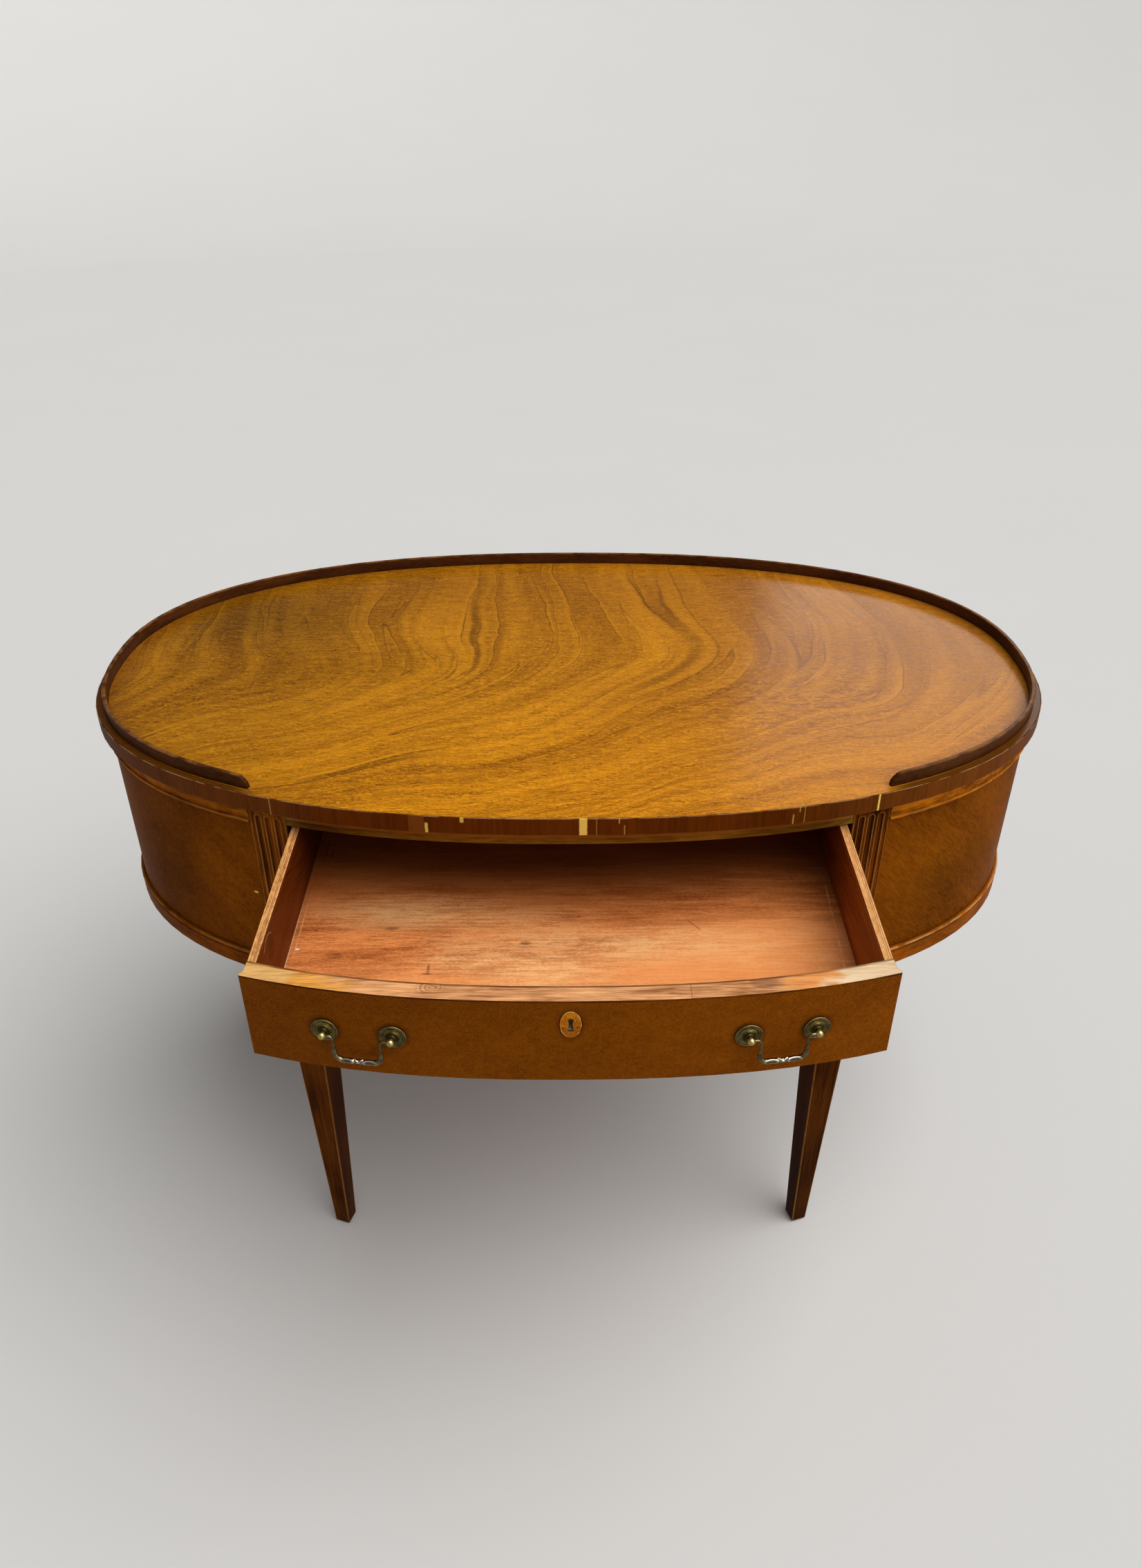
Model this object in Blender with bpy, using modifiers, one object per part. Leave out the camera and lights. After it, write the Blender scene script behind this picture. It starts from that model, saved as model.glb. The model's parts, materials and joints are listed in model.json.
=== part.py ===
"""Oval writing desk: gallery top, bowed drawer over a kneehole, fluted posts on tapered legs.

Units are metres and +Z is up. The origin lies on the floor under the centre of the oval, and
the drawer faces -Y. The drawer stands open in this pose, as far as PULL_OUT says.
"""
import math

import bmesh
import bpy
from mathutils import Matrix, Vector

# Top: a superellipse in plan, with a veneer band round its edge
TOP_WIDTH = 1.219
TOP_DEPTH = 0.712
OVAL_POWER = 2.31
TOP_HEIGHT = 0.762
TOP_THICKNESS = 0.022
EDGE_BAND_THICKNESS = 0.001

# Gallery rail, let into a groove in the top, that drops in a quarter round at its two ends
GALLERY_HEIGHT = 0.016
GALLERY_THICKNESS = 0.0055
GALLERY_SETBACK = 0.0095
GALLERY_END_X = 0.360
GALLERY_END_RADIUS = 0.0145
GALLERY_ROUNDING = 0.0018
GALLERY_GROOVE_DEPTH = 0.003

# Aprons under the top
APRON_SETBACK = 0.010
APRON_DEPTH = 0.2555
PANEL_RECESS = 0.0008
PANEL_THICKNESS = 0.015

# Frieze moulding: a fillet, a cove and a bead under the top
FRIEZE_PROUD = 0.0065
FRIEZE_FILLET = 0.0035
FRIEZE_COVE_HEIGHT = 0.016
FRIEZE_FOOT_PROUD = 0.0012
FRIEZE_BEAD_RADIUS = 0.0025

# Base band along the foot of each apron: a flat face with a bead on top
BASE_PROUD = 0.0045
BASE_FLAT_HEIGHT = 0.0205
BASE_BEAD_RADIUS = 0.003
BASE_BEAD_PROUD = 0.002

# Legs: square posts set square to the oval, tapering from the foot of the apron down
POST_CENTRE_X = 0.343
POST_SIZE = 0.047
POST_ARRIS = 0.0008
FOOT_SIZE = 0.0215
FOOT_KNEE_TAPER = 0.005
FOOT_FACE_TAPER = 0.002
FLUTE_COUNT = 3
FLUTE_WIDTH = 0.008
FLUTE_DEPTH = 0.0028
FLUTE_PITCH = 0.0124
FLUTE_TOP_MARGIN = 0.0115
FLUTE_FOOT_MARGIN = 0.012
GLIDE_HEIGHT = 0.002
GLIDE_TOP_RADIUS = 0.008
GLIDE_FOOT_RADIUS = 0.0065

# Rails, partitions and the pieces that carry the drawer
TOP_RAIL_HEIGHT = 0.019
BLADE_THICKNESS = 0.020
RAIL_DEPTH = 0.046
PARTITION_THICKNESS = 0.016
RUNNER_WIDTH = 0.020
RUNNER_HEIGHT = 0.018
STOP_SIZE = (0.040, 0.012, 0.008)
STOP_X = 0.200
BLOCK_SIZE = (0.022, 0.080, 0.022)
BLOCK_END_MARGIN = 0.075

# Drawer
PULL_OUT = 0.244
DRAWER_TOP_CLEARANCE = 0.002
DRAWER_FOOT_CLEARANCE = 0.001
DRAWER_END_CLEARANCE = 0.002
DRAWER_SIDE_CLEARANCE = 0.0015
FRONT_HEIGHT = 0.105
FRONT_THICKNESS = 0.0205
FRONT_LIP = 0.003
FRONT_COVE_WIDTH = 0.0038
FRONT_COVE_DEPTH = 0.008
DRAWER_LENGTH = 0.470
SIDE_THICKNESS = 0.009
SIDE_DROP = 0.0015
BACK_DROP = 0.008
BOTTOM_BELOW_TOP = 0.083
BOTTOM_THICKNESS = 0.006
BOTTOM_GROOVE_DEPTH = 0.004

# Inlaid escutcheon with a keyhole
ESCUTCHEON_WIDTH = 0.021
ESCUTCHEON_HEIGHT = 0.034
ESCUTCHEON_THICKNESS = 0.0015
ESCUTCHEON_PROUD = 0.0004
ESCUTCHEON_BELOW_TOP = 0.030
KEYHOLE_EYE_RADIUS = 0.0028
KEYHOLE_SLOT_WIDTH = 0.0034
KEYHOLE_FOOT_WIDTH = 0.0060
KEYHOLE_DROP = 0.0135
KEYHOLE_RISE = 0.0052
KEYHOLE_DEPTH = 0.012

# Bail handles
HANDLE_CENTRE_X = 0.205
HANDLE_BORING = 0.068
HANDLE_STANDOFF = 0.0092
ROSETTE_RADIUS = 0.0138
ROSETTE_RIM_RADIUS = 0.0008
ROSETTE_DISH_HEIGHT = 0.001
ROSETTE_DISH_RADIUS = 0.0085
ROSETTE_BOSS_RADIUS = 0.0058
ROSETTE_BOSS_HEIGHT = 0.0034
SHANK_RADIUS = 0.0021
SHANK_CLEARANCE = 0.0004
COLLAR_RADIUS = 0.0038
COLLAR_THICKNESS = 0.0012
NECK_RADIUS = 0.0026
BALL_RADIUS = 0.0041
NUT_RADIUS = 0.0050
NUT_THICKNESS = 0.003
SHANK_PAST_NUT = 0.002
PIN_RADIUS = 0.0014
PIN_CLEARANCE = 0.0004
PIN_PAST_CENTRE = 0.0015
BAIL_NECK_HALF = 0.0233
BAIL_DROP = 0.0298
BAIL_SHOULDER_RADIUS = 0.0048
BAIL_CORNER_RADIUS = 0.0075
BAIL_BAR_RADIUS = 0.0021
BAIL_BAR_HALF = 0.0135
BAIL_KNOT_RADIUS = 0.0029
BAIL_KNOT_HALF = 0.005

# Fits and fineness
SEAT_GAP = 0.0003
WELD = 0.00001
STATION_COUNT = 100
FLUTE_SIDES = 12
FLUTE_RINGS = 7
TURNING_STEPS = 20
POST_STEPS = 12
SMOOTH_ANGLE = math.radians(32)

# Finishes: colour, roughness and metallic value
FINISHES = {
    "top_veneer": ((0.42, 0.19, 0.045), 0.28, 0.0),
    "edge_veneer": ((0.17, 0.065, 0.022), 0.35, 0.0),
    "mahogany": ((0.22, 0.088, 0.026), 0.38, 0.0),
    "leg_mahogany": ((0.15, 0.055, 0.02), 0.38, 0.0),
    "front_veneer": ((0.33, 0.12, 0.028), 0.36, 0.0),
    "drawer_wood": ((0.36, 0.14, 0.06), 0.45, 0.0),
    "plain_wood": ((0.40, 0.24, 0.12), 0.6, 0.0),
    "inlay": ((0.62, 0.33, 0.08), 0.4, 0.0),
    "brass": ((0.42, 0.33, 0.17), 0.32, 1.0),
    "steel": ((0.5, 0.5, 0.5), 0.35, 1.0),
}

# Heights that follow from the sizes above
TOP_UNDERSIDE = TOP_HEIGHT - TOP_THICKNESS
APRON_BOTTOM = TOP_UNDERSIDE - APRON_DEPTH
CASE_TOP = TOP_UNDERSIDE - SEAT_GAP
LEG_FOOT = GLIDE_HEIGHT + SEAT_GAP
RAIL_BOTTOM = TOP_UNDERSIDE - TOP_RAIL_HEIGHT
DRAWER_TOP = RAIL_BOTTOM - DRAWER_TOP_CLEARANCE
FRONT_BOTTOM = DRAWER_TOP - FRONT_HEIGHT
BLADE_TOP = FRONT_BOTTOM - DRAWER_FOOT_CLEARANCE
SIDE_TOP = DRAWER_TOP - SIDE_DROP
SIDE_BOTTOM = BLADE_TOP + SEAT_GAP
BOTTOM_TOP = DRAWER_TOP - BOTTOM_BELOW_TOP
HANDLE_HEIGHT = DRAWER_TOP - FRONT_HEIGHT / 2
PANEL_SETBACK = APRON_SETBACK + PANEL_RECESS
FRONT_BACK_SETBACK = APRON_SETBACK + FRONT_THICKNESS
STATION = math.tau / STATION_COUNT
FRONT_ANGLE = -math.pi / 2


# The oval in plan

def signed_power(value, power):
    """Power of a number's size, with its sign kept."""
    return math.copysign(abs(value) ** power, value)


def oval_normal(angle):
    """Outward unit normal of the top's outline."""
    power = 2 - 2 / OVAL_POWER
    across = signed_power(math.cos(angle), power) / TOP_WIDTH
    along = signed_power(math.sin(angle), power) / TOP_DEPTH
    return Vector((across, along)).normalized()


def oval_point(angle, setback):
    """Point of the top's outline, moved inward by a setback."""
    power = 2 / OVAL_POWER
    across = TOP_WIDTH / 2 * signed_power(math.cos(angle), power)
    along = TOP_DEPTH / 2 * signed_power(math.sin(angle), power)
    return Vector((across, along)) - setback * oval_normal(angle)


def solve_angle(error, low, high):
    """Angle between low and high at which a steadily rising error is nought."""
    for _ in range(60):
        middle = (low + high) / 2
        if error(middle) > 0:
            high = middle
        else:
            low = middle
    return (low + high) / 2


def front_angle_at(x, setback):
    """Angle on the right half of the front where the outline reaches x."""
    return solve_angle(lambda angle: oval_point(angle, setback).x - x, FRONT_ANGLE, 0)


def oval_arc(span, setback):
    """Points along the oval, on stations that every piece shares."""
    start, end = span
    margin = STATION / 3
    first = math.ceil((start + margin) / STATION)
    last = math.floor((end - margin) / STATION)
    angles = [start] + [k * STATION for k in range(first, last + 1)] + [end]
    return [oval_point(angle, setback) for angle in angles]


def full_oval(setback):
    """Closed outline of the oval."""
    return [oval_point(k * STATION, setback) for k in range(STATION_COUNT)]


# Front right post, from which the other three are mirrored
POST_ANGLE = front_angle_at(POST_CENTRE_X, APRON_SETBACK)
POST_FACE = oval_point(POST_ANGLE, APRON_SETBACK)
POST_OUT = oval_normal(POST_ANGLE)
POST_ALONG = Vector((-POST_OUT.y, POST_OUT.x))
KNEE_CORNER = POST_FACE - POST_ALONG * POST_SIZE / 2
FRONT_HALF = KNEE_CORNER.x - DRAWER_END_CLEARANCE
BOX_HALF = FRONT_HALF - FRONT_COVE_WIDTH
PASSAGE_HALF = BOX_HALF + DRAWER_SIDE_CLEARANCE
DRAWER_REAR = oval_point(FRONT_ANGLE, APRON_SETBACK).y + DRAWER_LENGTH


def angle_beside_post(offset, setback):
    """Angle where the oval lies at an offset along the front right post's face."""
    return solve_angle(
        lambda angle: (oval_point(angle, setback) - POST_FACE).dot(POST_ALONG) - offset,
        FRONT_ANGLE,
        0,
    )


def front_span(setback):
    """Angles between the two front posts."""
    end = angle_beside_post(-POST_SIZE / 2 - SEAT_GAP, setback)
    return -math.pi - end, end


def right_span(setback):
    """Angles between the front and back posts on the right."""
    start = angle_beside_post(POST_SIZE / 2 + SEAT_GAP, setback)
    return start, -start


def back_span(setback):
    """Angles between the two back posts."""
    start, end = front_span(setback)
    return -end, -start


def left_span(setback):
    """Angles between the back and front posts on the left."""
    start, end = right_span(setback)
    return math.pi + start, math.pi + end


APRONS = {"left": left_span, "right": right_span, "back": back_span}


# Meshes

def arc_points(centre, radii, start, end, count):
    """Points along a round or oval arc, in degrees, both ends included."""
    points = []
    for step in range(count + 1):
        turn = math.radians(start + (end - start) * step / count)
        points.append((centre[0] + radii[0] * math.cos(turn), centre[1] + radii[1] * math.sin(turn)))
    return points


def mesh_from(shape, name):
    """Mesh with its faces turned out, from a bmesh that is then freed."""
    bmesh.ops.recalc_face_normals(shape, faces=shape.faces)
    mesh = bpy.data.meshes.new(name)
    shape.to_mesh(mesh)
    shape.free()
    return mesh


def flat_curve(name, loops, closed=True):
    """Flat curve of straight-sided loops."""
    curve = bpy.data.curves.new(name, "CURVE")
    curve.dimensions = "2D"
    for loop in loops:
        spline = curve.splines.new("POLY")
        spline.points.add(len(loop) - 1)
        for point, place in zip(spline.points, loop):
            point.co = (place[0], place[1], 0, 1)
        spline.use_cyclic_u = closed
    return curve


def solid_from_curve(curve):
    """Closed mesh of a curve, with its caps welded on."""
    holder = bpy.data.objects.new(curve.name, curve)
    bpy.context.scene.collection.objects.link(holder)
    graph = bpy.context.evaluated_depsgraph_get()
    raw = bpy.data.meshes.new_from_object(holder.evaluated_get(graph))
    bpy.data.objects.remove(holder, do_unlink=True)
    shape = bmesh.new()
    shape.from_mesh(raw)
    bmesh.ops.remove_doubles(shape, verts=shape.verts, dist=WELD)
    mesh = mesh_from(shape, curve.name)
    bpy.data.meshes.remove(raw)
    bpy.data.curves.remove(curve)
    return mesh


def outline_mesh(name, loops, low, high):
    """Flat outline, with any holes, extruded from one height to another."""
    curve = flat_curve(name, loops)
    curve.fill_mode = "BOTH"
    curve.extrude = (high - low) / 2
    mesh = solid_from_curve(curve)
    mesh.transform(Matrix.Translation((0, 0, (low + high) / 2)))
    return mesh


def swept_mesh(name, path, profile, height):
    """Profile of outward and upward distances, swept along a plan path at a height."""
    guide = bpy.data.objects.new(name + "_profile", flat_curve(name + "_profile", [profile]))
    bpy.context.scene.collection.objects.link(guide)
    curve = flat_curve(name, [path], closed=False)
    curve.bevel_mode = "OBJECT"
    curve.bevel_object = guide
    curve.use_fill_caps = True
    mesh = solid_from_curve(curve)
    mesh.transform(Matrix.Translation((0, 0, height)))
    guide_curve = guide.data
    bpy.data.objects.remove(guide, do_unlink=True)
    bpy.data.curves.remove(guide_curve)
    return mesh


def box_mesh(name, low, high):
    """Box between two corners."""
    shape = bmesh.new()
    low = Vector(low)
    high = Vector(high)
    place = Matrix.Translation((low + high) / 2) @ Matrix.Diagonal((*(high - low), 1))
    bmesh.ops.create_cube(shape, size=1, matrix=place)
    return mesh_from(shape, name)


def rod_mesh(name, radius, low, high, sides):
    """Round rod along Z between two heights."""
    shape = bmesh.new()
    middle = Matrix.Translation((0, 0, (low + high) / 2))
    bmesh.ops.create_cone(
        shape,
        cap_ends=True,
        segments=sides,
        radius1=radius,
        radius2=radius,
        depth=high - low,
        matrix=middle,
    )
    return mesh_from(shape, name)


# Objects

def clear_scene():
    """Remove what the scene holds."""
    for item in list(bpy.data.objects):
        bpy.data.objects.remove(item, do_unlink=True)


def new_collection(name):
    """Collection under the scene."""
    group = bpy.data.collections.new(name)
    bpy.context.scene.collection.children.link(group)
    return group


def add_part(name, mesh, finish, carrier=None):
    """Named piece of the desk, with its own material."""
    part = bpy.data.objects.new(name, mesh)
    bpy.data.collections["oval_writing_desk"].objects.link(part)
    part.parent = carrier
    colour, roughness, metallic = FINISHES[finish]
    material = bpy.data.materials.new(f"{name}_{finish}")
    material.use_nodes = True
    shader = material.node_tree.nodes["Principled BSDF"]
    shader.inputs["Base Color"].default_value = (*colour, 1)
    shader.inputs["Roughness"].default_value = roughness
    shader.inputs["Metallic"].default_value = metallic
    mesh.materials.append(material)
    if mesh.polygons:
        mesh.shade_smooth()
        mesh.set_sharp_from_angle(angle=SMOOTH_ANGLE)
    return part


def add_cutter(name, mesh, carrier=None):
    """Shape that only cuts others."""
    cutter = bpy.data.objects.new(name, mesh)
    bpy.data.collections["cutters"].objects.link(cutter)
    cutter.parent = carrier
    cutter.hide_render = True
    cutter.display_type = "WIRE"
    return cutter


def cut(part, cutter):
    """Take a cutter's shape out of a part."""
    step = part.modifiers.new("cut_" + cutter.name, "BOOLEAN")
    step.operation = "DIFFERENCE"
    step.object = cutter


def turned_part(name, profile, steps, finish, carrier, closed=False):
    """Profile of radii and heights, turned about Z. It runs down its outer side."""
    mesh = bpy.data.meshes.new(name)
    last = len(profile) - 1
    edges = [(k, k + 1) for k in range(last)]
    if closed:
        edges.append((last, 0))
    mesh.from_pydata([(radius, 0, height) for radius, height in profile], edges, [])
    part = add_part(name, mesh, finish, carrier)
    screw = part.modifiers.new("turn", "SCREW")
    screw.axis = "Z"
    screw.steps = steps
    screw.render_steps = steps
    screw.use_merge_vertices = True
    screw.merge_threshold = WELD
    screw.use_smooth_shade = True
    return part


def axes_frame(origin, x_axis, z_axis):
    """Placement with its X and Z axes given."""
    y_axis = z_axis.cross(x_axis)
    turn = Matrix((x_axis, y_axis, z_axis)).transposed().to_4x4()
    return Matrix.Translation(origin) @ turn


# Top

def build_top():
    """Oval board, its edge band and the gallery rail."""
    board = outline_mesh(
        "top_panel", [full_oval(EDGE_BAND_THICKNESS + SEAT_GAP)], TOP_UNDERSIDE, TOP_HEIGHT
    )
    top = add_part("top_panel", board, "top_veneer")
    band = [full_oval(0), full_oval(EDGE_BAND_THICKNESS)]
    add_part("edge_band", outline_mesh("edge_band", band, TOP_UNDERSIDE, TOP_HEIGHT), "edge_veneer")
    path = gallery_path()
    add_part("gallery_rail", gallery_mesh(path), "edge_veneer")
    floor = -GALLERY_GROOVE_DEPTH
    cheek = GALLERY_THICKNESS / 2 + SEAT_GAP
    section = [(-cheek, floor), (cheek, floor), (cheek, GALLERY_HEIGHT), (-cheek, GALLERY_HEIGHT)]
    reach = [path[0] + (path[0] - path[1]).normalized() * SEAT_GAP]
    reach += path[1:-1]
    reach.append(path[-1] + (path[-1] - path[-2]).normalized() * SEAT_GAP)
    cut(top, add_cutter("gallery_groove", swept_mesh("gallery_groove", reach, section, TOP_HEIGHT)))


def gallery_path():
    """Middle line of the gallery, with close stations where its ends drop."""
    middle = GALLERY_SETBACK + GALLERY_THICKNESS / 2
    tip = front_angle_at(GALLERY_END_X, middle)
    speed = (oval_point(tip + STATION, middle) - oval_point(tip, middle)).length / STATION
    drop = GALLERY_END_RADIUS / speed
    lead = [tip + drop * (1 - math.cos(math.radians(turn))) for turn in (0, 20, 40, 60, 75)]
    start = [oval_point(angle, middle) for angle in lead]
    finish = [Vector((-point.x, point.y)) for point in reversed(start)]
    return start + oval_arc((tip + drop, math.pi - tip - drop), middle) + finish


def gallery_mesh(path):
    """Thin rail round the back and ends, with a rounded top that drops at each tip."""
    half = GALLERY_THICKNESS / 2
    foot = SEAT_GAP - GALLERY_GROOVE_DEPTH
    crown = GALLERY_HEIGHT - GALLERY_ROUNDING
    rounding = (GALLERY_ROUNDING, GALLERY_ROUNDING)
    profile = [(-half, foot), (half, foot)]
    profile += arc_points((half - GALLERY_ROUNDING, crown), rounding, 0, 90, 2)
    profile += arc_points((-half + GALLERY_ROUNDING, crown), rounding, 90, 180, 2)
    mesh = swept_mesh("gallery_rail", path, profile, TOP_HEIGHT)
    for end, inner in ((path[0], path[1]), (path[-1], path[-2])):
        lower_gallery_tip(mesh, end, (inner - end).normalized())
    return mesh


def lower_gallery_tip(mesh, end, inward):
    """Bring the rail's top down along a quarter round near one end."""
    reach = GALLERY_END_RADIUS
    for vertex in mesh.vertices:
        away = vertex.co.xy - end
        run = max(away.dot(inward), 0)
        height = vertex.co.z - TOP_HEIGHT
        if height > 0 and run < reach and away.length < 2 * reach:
            rise = GALLERY_HEIGHT - reach + math.sqrt(reach ** 2 - (reach - run) ** 2)
            vertex.co.z = TOP_HEIGHT + height * rise / GALLERY_HEIGHT


# Aprons

def frieze_profile():
    """Fillet, cove and bead, as outward and upward distances from the top's underside."""
    cove_foot = -FRIEZE_FILLET - FRIEZE_COVE_HEIGHT
    cove_depth = FRIEZE_PROUD - FRIEZE_FOOT_PROUD
    bead = (FRIEZE_FOOT_PROUD, cove_foot - FRIEZE_BEAD_RADIUS)
    profile = [(0, -SEAT_GAP), (FRIEZE_PROUD, -SEAT_GAP)]
    profile += arc_points((FRIEZE_PROUD, cove_foot), (cove_depth, FRIEZE_COVE_HEIGHT), 90, 180, 4)
    profile += arc_points(bead, (FRIEZE_BEAD_RADIUS, FRIEZE_BEAD_RADIUS), 90, -90, 4)[1:]
    profile.append((0, cove_foot - 2 * FRIEZE_BEAD_RADIUS))
    return profile


def base_profile():
    """Flat band with a bead over it, as outward and upward distances from the apron's foot."""
    bead = (BASE_BEAD_PROUD, BASE_FLAT_HEIGHT + BASE_BEAD_RADIUS)
    profile = [(0, 0), (BASE_PROUD, 0), (BASE_PROUD, BASE_FLAT_HEIGHT)]
    profile += arc_points(bead, (BASE_BEAD_RADIUS, BASE_BEAD_RADIUS), -90, 90, 4)
    profile.append((0, BASE_FLAT_HEIGHT + 2 * BASE_BEAD_RADIUS))
    return profile


def build_aprons():
    """Curved panels between the posts, each with its frieze moulding and base band."""
    inner = PANEL_SETBACK + PANEL_THICKNESS
    trim = PANEL_SETBACK - SEAT_GAP
    for side, span in APRONS.items():
        name = f"{side}_panel"
        loop = oval_arc(span(PANEL_SETBACK), PANEL_SETBACK) + oval_arc(span(inner), inner)[::-1]
        add_part(name, outline_mesh(name, [loop], APRON_BOTTOM, CASE_TOP), "mahogany")
        path = oval_arc(span(trim), trim)
        name = f"{side}_frieze_moulding"
        add_part(name, swept_mesh(name, path, frieze_profile(), TOP_UNDERSIDE), "mahogany")
        name = f"{side}_base_band"
        add_part(name, swept_mesh(name, path, base_profile(), APRON_BOTTOM), "mahogany")


# Legs

def leg_mesh(name, knee):
    """Square post over a leg that tapers mostly on its back and far faces.

    The post's face is at y = 0 with its centre at x = 0, and knee is the sign of the side
    that faces the kneehole.
    """
    shape = bmesh.new()
    size = (POST_SIZE, POST_SIZE, CASE_TOP - LEG_FOOT, 1)
    centre = (0, POST_SIZE / 2, (CASE_TOP + LEG_FOOT) / 2)
    bmesh.ops.create_cube(shape, size=1, matrix=Matrix.Translation(centre) @ Matrix.Diagonal(size))
    everything = shape.verts[:] + shape.edges[:] + shape.faces[:]
    bmesh.ops.bisect_plane(shape, geom=everything, plane_co=(0, 0, APRON_BOTTOM), plane_no=(0, 0, 1))
    knee_x = knee * (POST_SIZE / 2 - FOOT_KNEE_TAPER)
    far_x = knee_x - knee * FOOT_SIZE
    for corner in shape.verts:
        if corner.co.z < APRON_BOTTOM - WELD:
            corner.co.x = knee_x if corner.co.x * knee > 0 else far_x
            corner.co.y = FOOT_FACE_TAPER + (FOOT_SIZE if corner.co.y > POST_SIZE / 2 else 0)
    return mesh_from(shape, name)


def flutes_mesh(name):
    """Row of round-ended flutes for one post."""
    shape = bmesh.new()
    radius = (FLUTE_WIDTH ** 2 / 4 + FLUTE_DEPTH ** 2) / (2 * FLUTE_DEPTH)
    top = CASE_TOP - FLUTE_TOP_MARGIN - radius
    foot = APRON_BOTTOM + FLUTE_FOOT_MARGIN + radius
    for column in range(FLUTE_COUNT):
        across = (column - (FLUTE_COUNT - 1) / 2) * FLUTE_PITCH
        flute = bmesh.ops.create_uvsphere(
            shape, u_segments=FLUTE_SIDES, v_segments=FLUTE_RINGS, radius=radius
        )
        for vertex in flute["verts"]:
            end = top if vertex.co.z > 0 else foot
            vertex.co += Vector((across, FLUTE_DEPTH - radius, end))
    return mesh_from(shape, name)


def build_legs():
    """Four fluted legs with their glides. The front posts are notched for the drawer."""
    reach = POST_SIZE * 2
    low = (-PASSAGE_HALF, POST_FACE.y - reach, BLADE_TOP)
    high = (PASSAGE_HALF, POST_FACE.y + reach, RAIL_BOTTOM)
    passage = add_cutter("drawer_passage", box_mesh("drawer_passage", low, high))
    for row, toward_back in (("front", -1), ("back", 1)):
        for side, across in (("left", -1), ("right", 1)):
            place = Vector((POST_FACE.x * across, -POST_FACE.y * toward_back, 0))
            out = Vector((POST_OUT.x * across, -POST_OUT.y * toward_back))
            stand = Matrix.Translation(place) @ Matrix.Rotation(math.atan2(out.x, -out.y), 4, "Z")
            knee = across * toward_back
            name = f"{row}_{side}_leg"
            leg = add_part(name, leg_mesh(name, knee), "leg_mahogany")
            leg.matrix_basis = stand
            arris = leg.modifiers.new("arris", "BEVEL")
            arris.width = POST_ARRIS
            arris.segments = 1
            arris.limit_method = "ANGLE"
            flutes = add_cutter(f"{name}_flutes", flutes_mesh(f"{name}_flutes"))
            flutes.matrix_basis = stand
            cut(leg, flutes)
            if toward_back < 0:
                cut(leg, passage)
            build_glide(f"{row}_{side}_glide", stand, knee)


def build_glide(name, stand, knee):
    """Metal glide under the middle of a foot."""
    shape = bmesh.new()
    bmesh.ops.create_cone(
        shape,
        cap_ends=True,
        segments=TURNING_STEPS,
        radius1=GLIDE_FOOT_RADIUS,
        radius2=GLIDE_TOP_RADIUS,
        depth=GLIDE_HEIGHT,
    )
    glide = add_part(name, mesh_from(shape, name), "steel")
    across = knee * (POST_SIZE / 2 - FOOT_KNEE_TAPER - FOOT_SIZE / 2)
    centre = (across, FOOT_FACE_TAPER + FOOT_SIZE / 2, GLIDE_HEIGHT / 2)
    glide.matrix_basis = stand @ Matrix.Translation(centre)


# Inside the case

def rail_loop():
    """Plan of a front rail: bowed face, ends against the posts and a straight back."""
    end = KNEE_CORNER - POST_ALONG * SEAT_GAP - POST_OUT * RAIL_DEPTH
    return oval_arc(front_span(APRON_SETBACK), APRON_SETBACK) + [end, Vector((-end.x, end.y))]


def build_case():
    """Rails, partitions, and the pieces that guide and stop the drawer."""
    rail = outline_mesh("front_top_rail", [rail_loop()], RAIL_BOTTOM, CASE_TOP)
    add_part("front_top_rail", rail, "mahogany")
    blade = outline_mesh("drawer_blade", [rail_loop()], BLADE_TOP - BLADE_THICKNESS, BLADE_TOP)
    add_part("drawer_blade", blade, "mahogany")
    post_back = POST_FACE - POST_OUT * (POST_SIZE + SEAT_GAP)
    outer = PASSAGE_HALF + PARTITION_THICKNESS
    half_length = -post_back.y - POST_OUT.x * (outer - post_back.x) / -POST_OUT.y
    for side, across in (("left", -1), ("right", 1)):
        wall = ((PASSAGE_HALF, -half_length, APRON_BOTTOM), (outer, half_length, CASE_TOP))
        add_side_box(f"{side}_partition", across, *wall, "plain_wood")
        guide = PASSAGE_HALF - SEAT_GAP
        runner = (
            (guide - RUNNER_WIDTH, -half_length, BLADE_TOP - RUNNER_HEIGHT),
            (guide, half_length, BLADE_TOP),
        )
        add_side_box(f"{side}_drawer_runner", across, *runner, "plain_wood")
        kicker = ((guide - RUNNER_WIDTH, -half_length, RAIL_BOTTOM), (guide, half_length, CASE_TOP))
        add_side_box(f"{side}_drawer_kicker", across, *kicker, "plain_wood")
        build_stop(f"{side}_drawer_stop", across)
        far = half_length - BLOCK_END_MARGIN
        for row, ends in (("front", (-far, BLOCK_SIZE[1] - far)), ("back", (far - BLOCK_SIZE[1], far))):
            low = (outer + SEAT_GAP, ends[0], CASE_TOP - BLOCK_SIZE[2])
            high = (outer + SEAT_GAP + BLOCK_SIZE[0], ends[1], CASE_TOP)
            add_side_box(f"{row}_{side}_glue_block", across, low, high, "plain_wood")


def add_side_box(name, across, low, high, finish):
    """Box given for the right side, put on the side that across names."""
    ends = sorted((low[0] * across, high[0] * across))
    add_part(name, box_mesh(name, (ends[0], *low[1:]), (ends[1], *high[1:])), finish)


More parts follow.
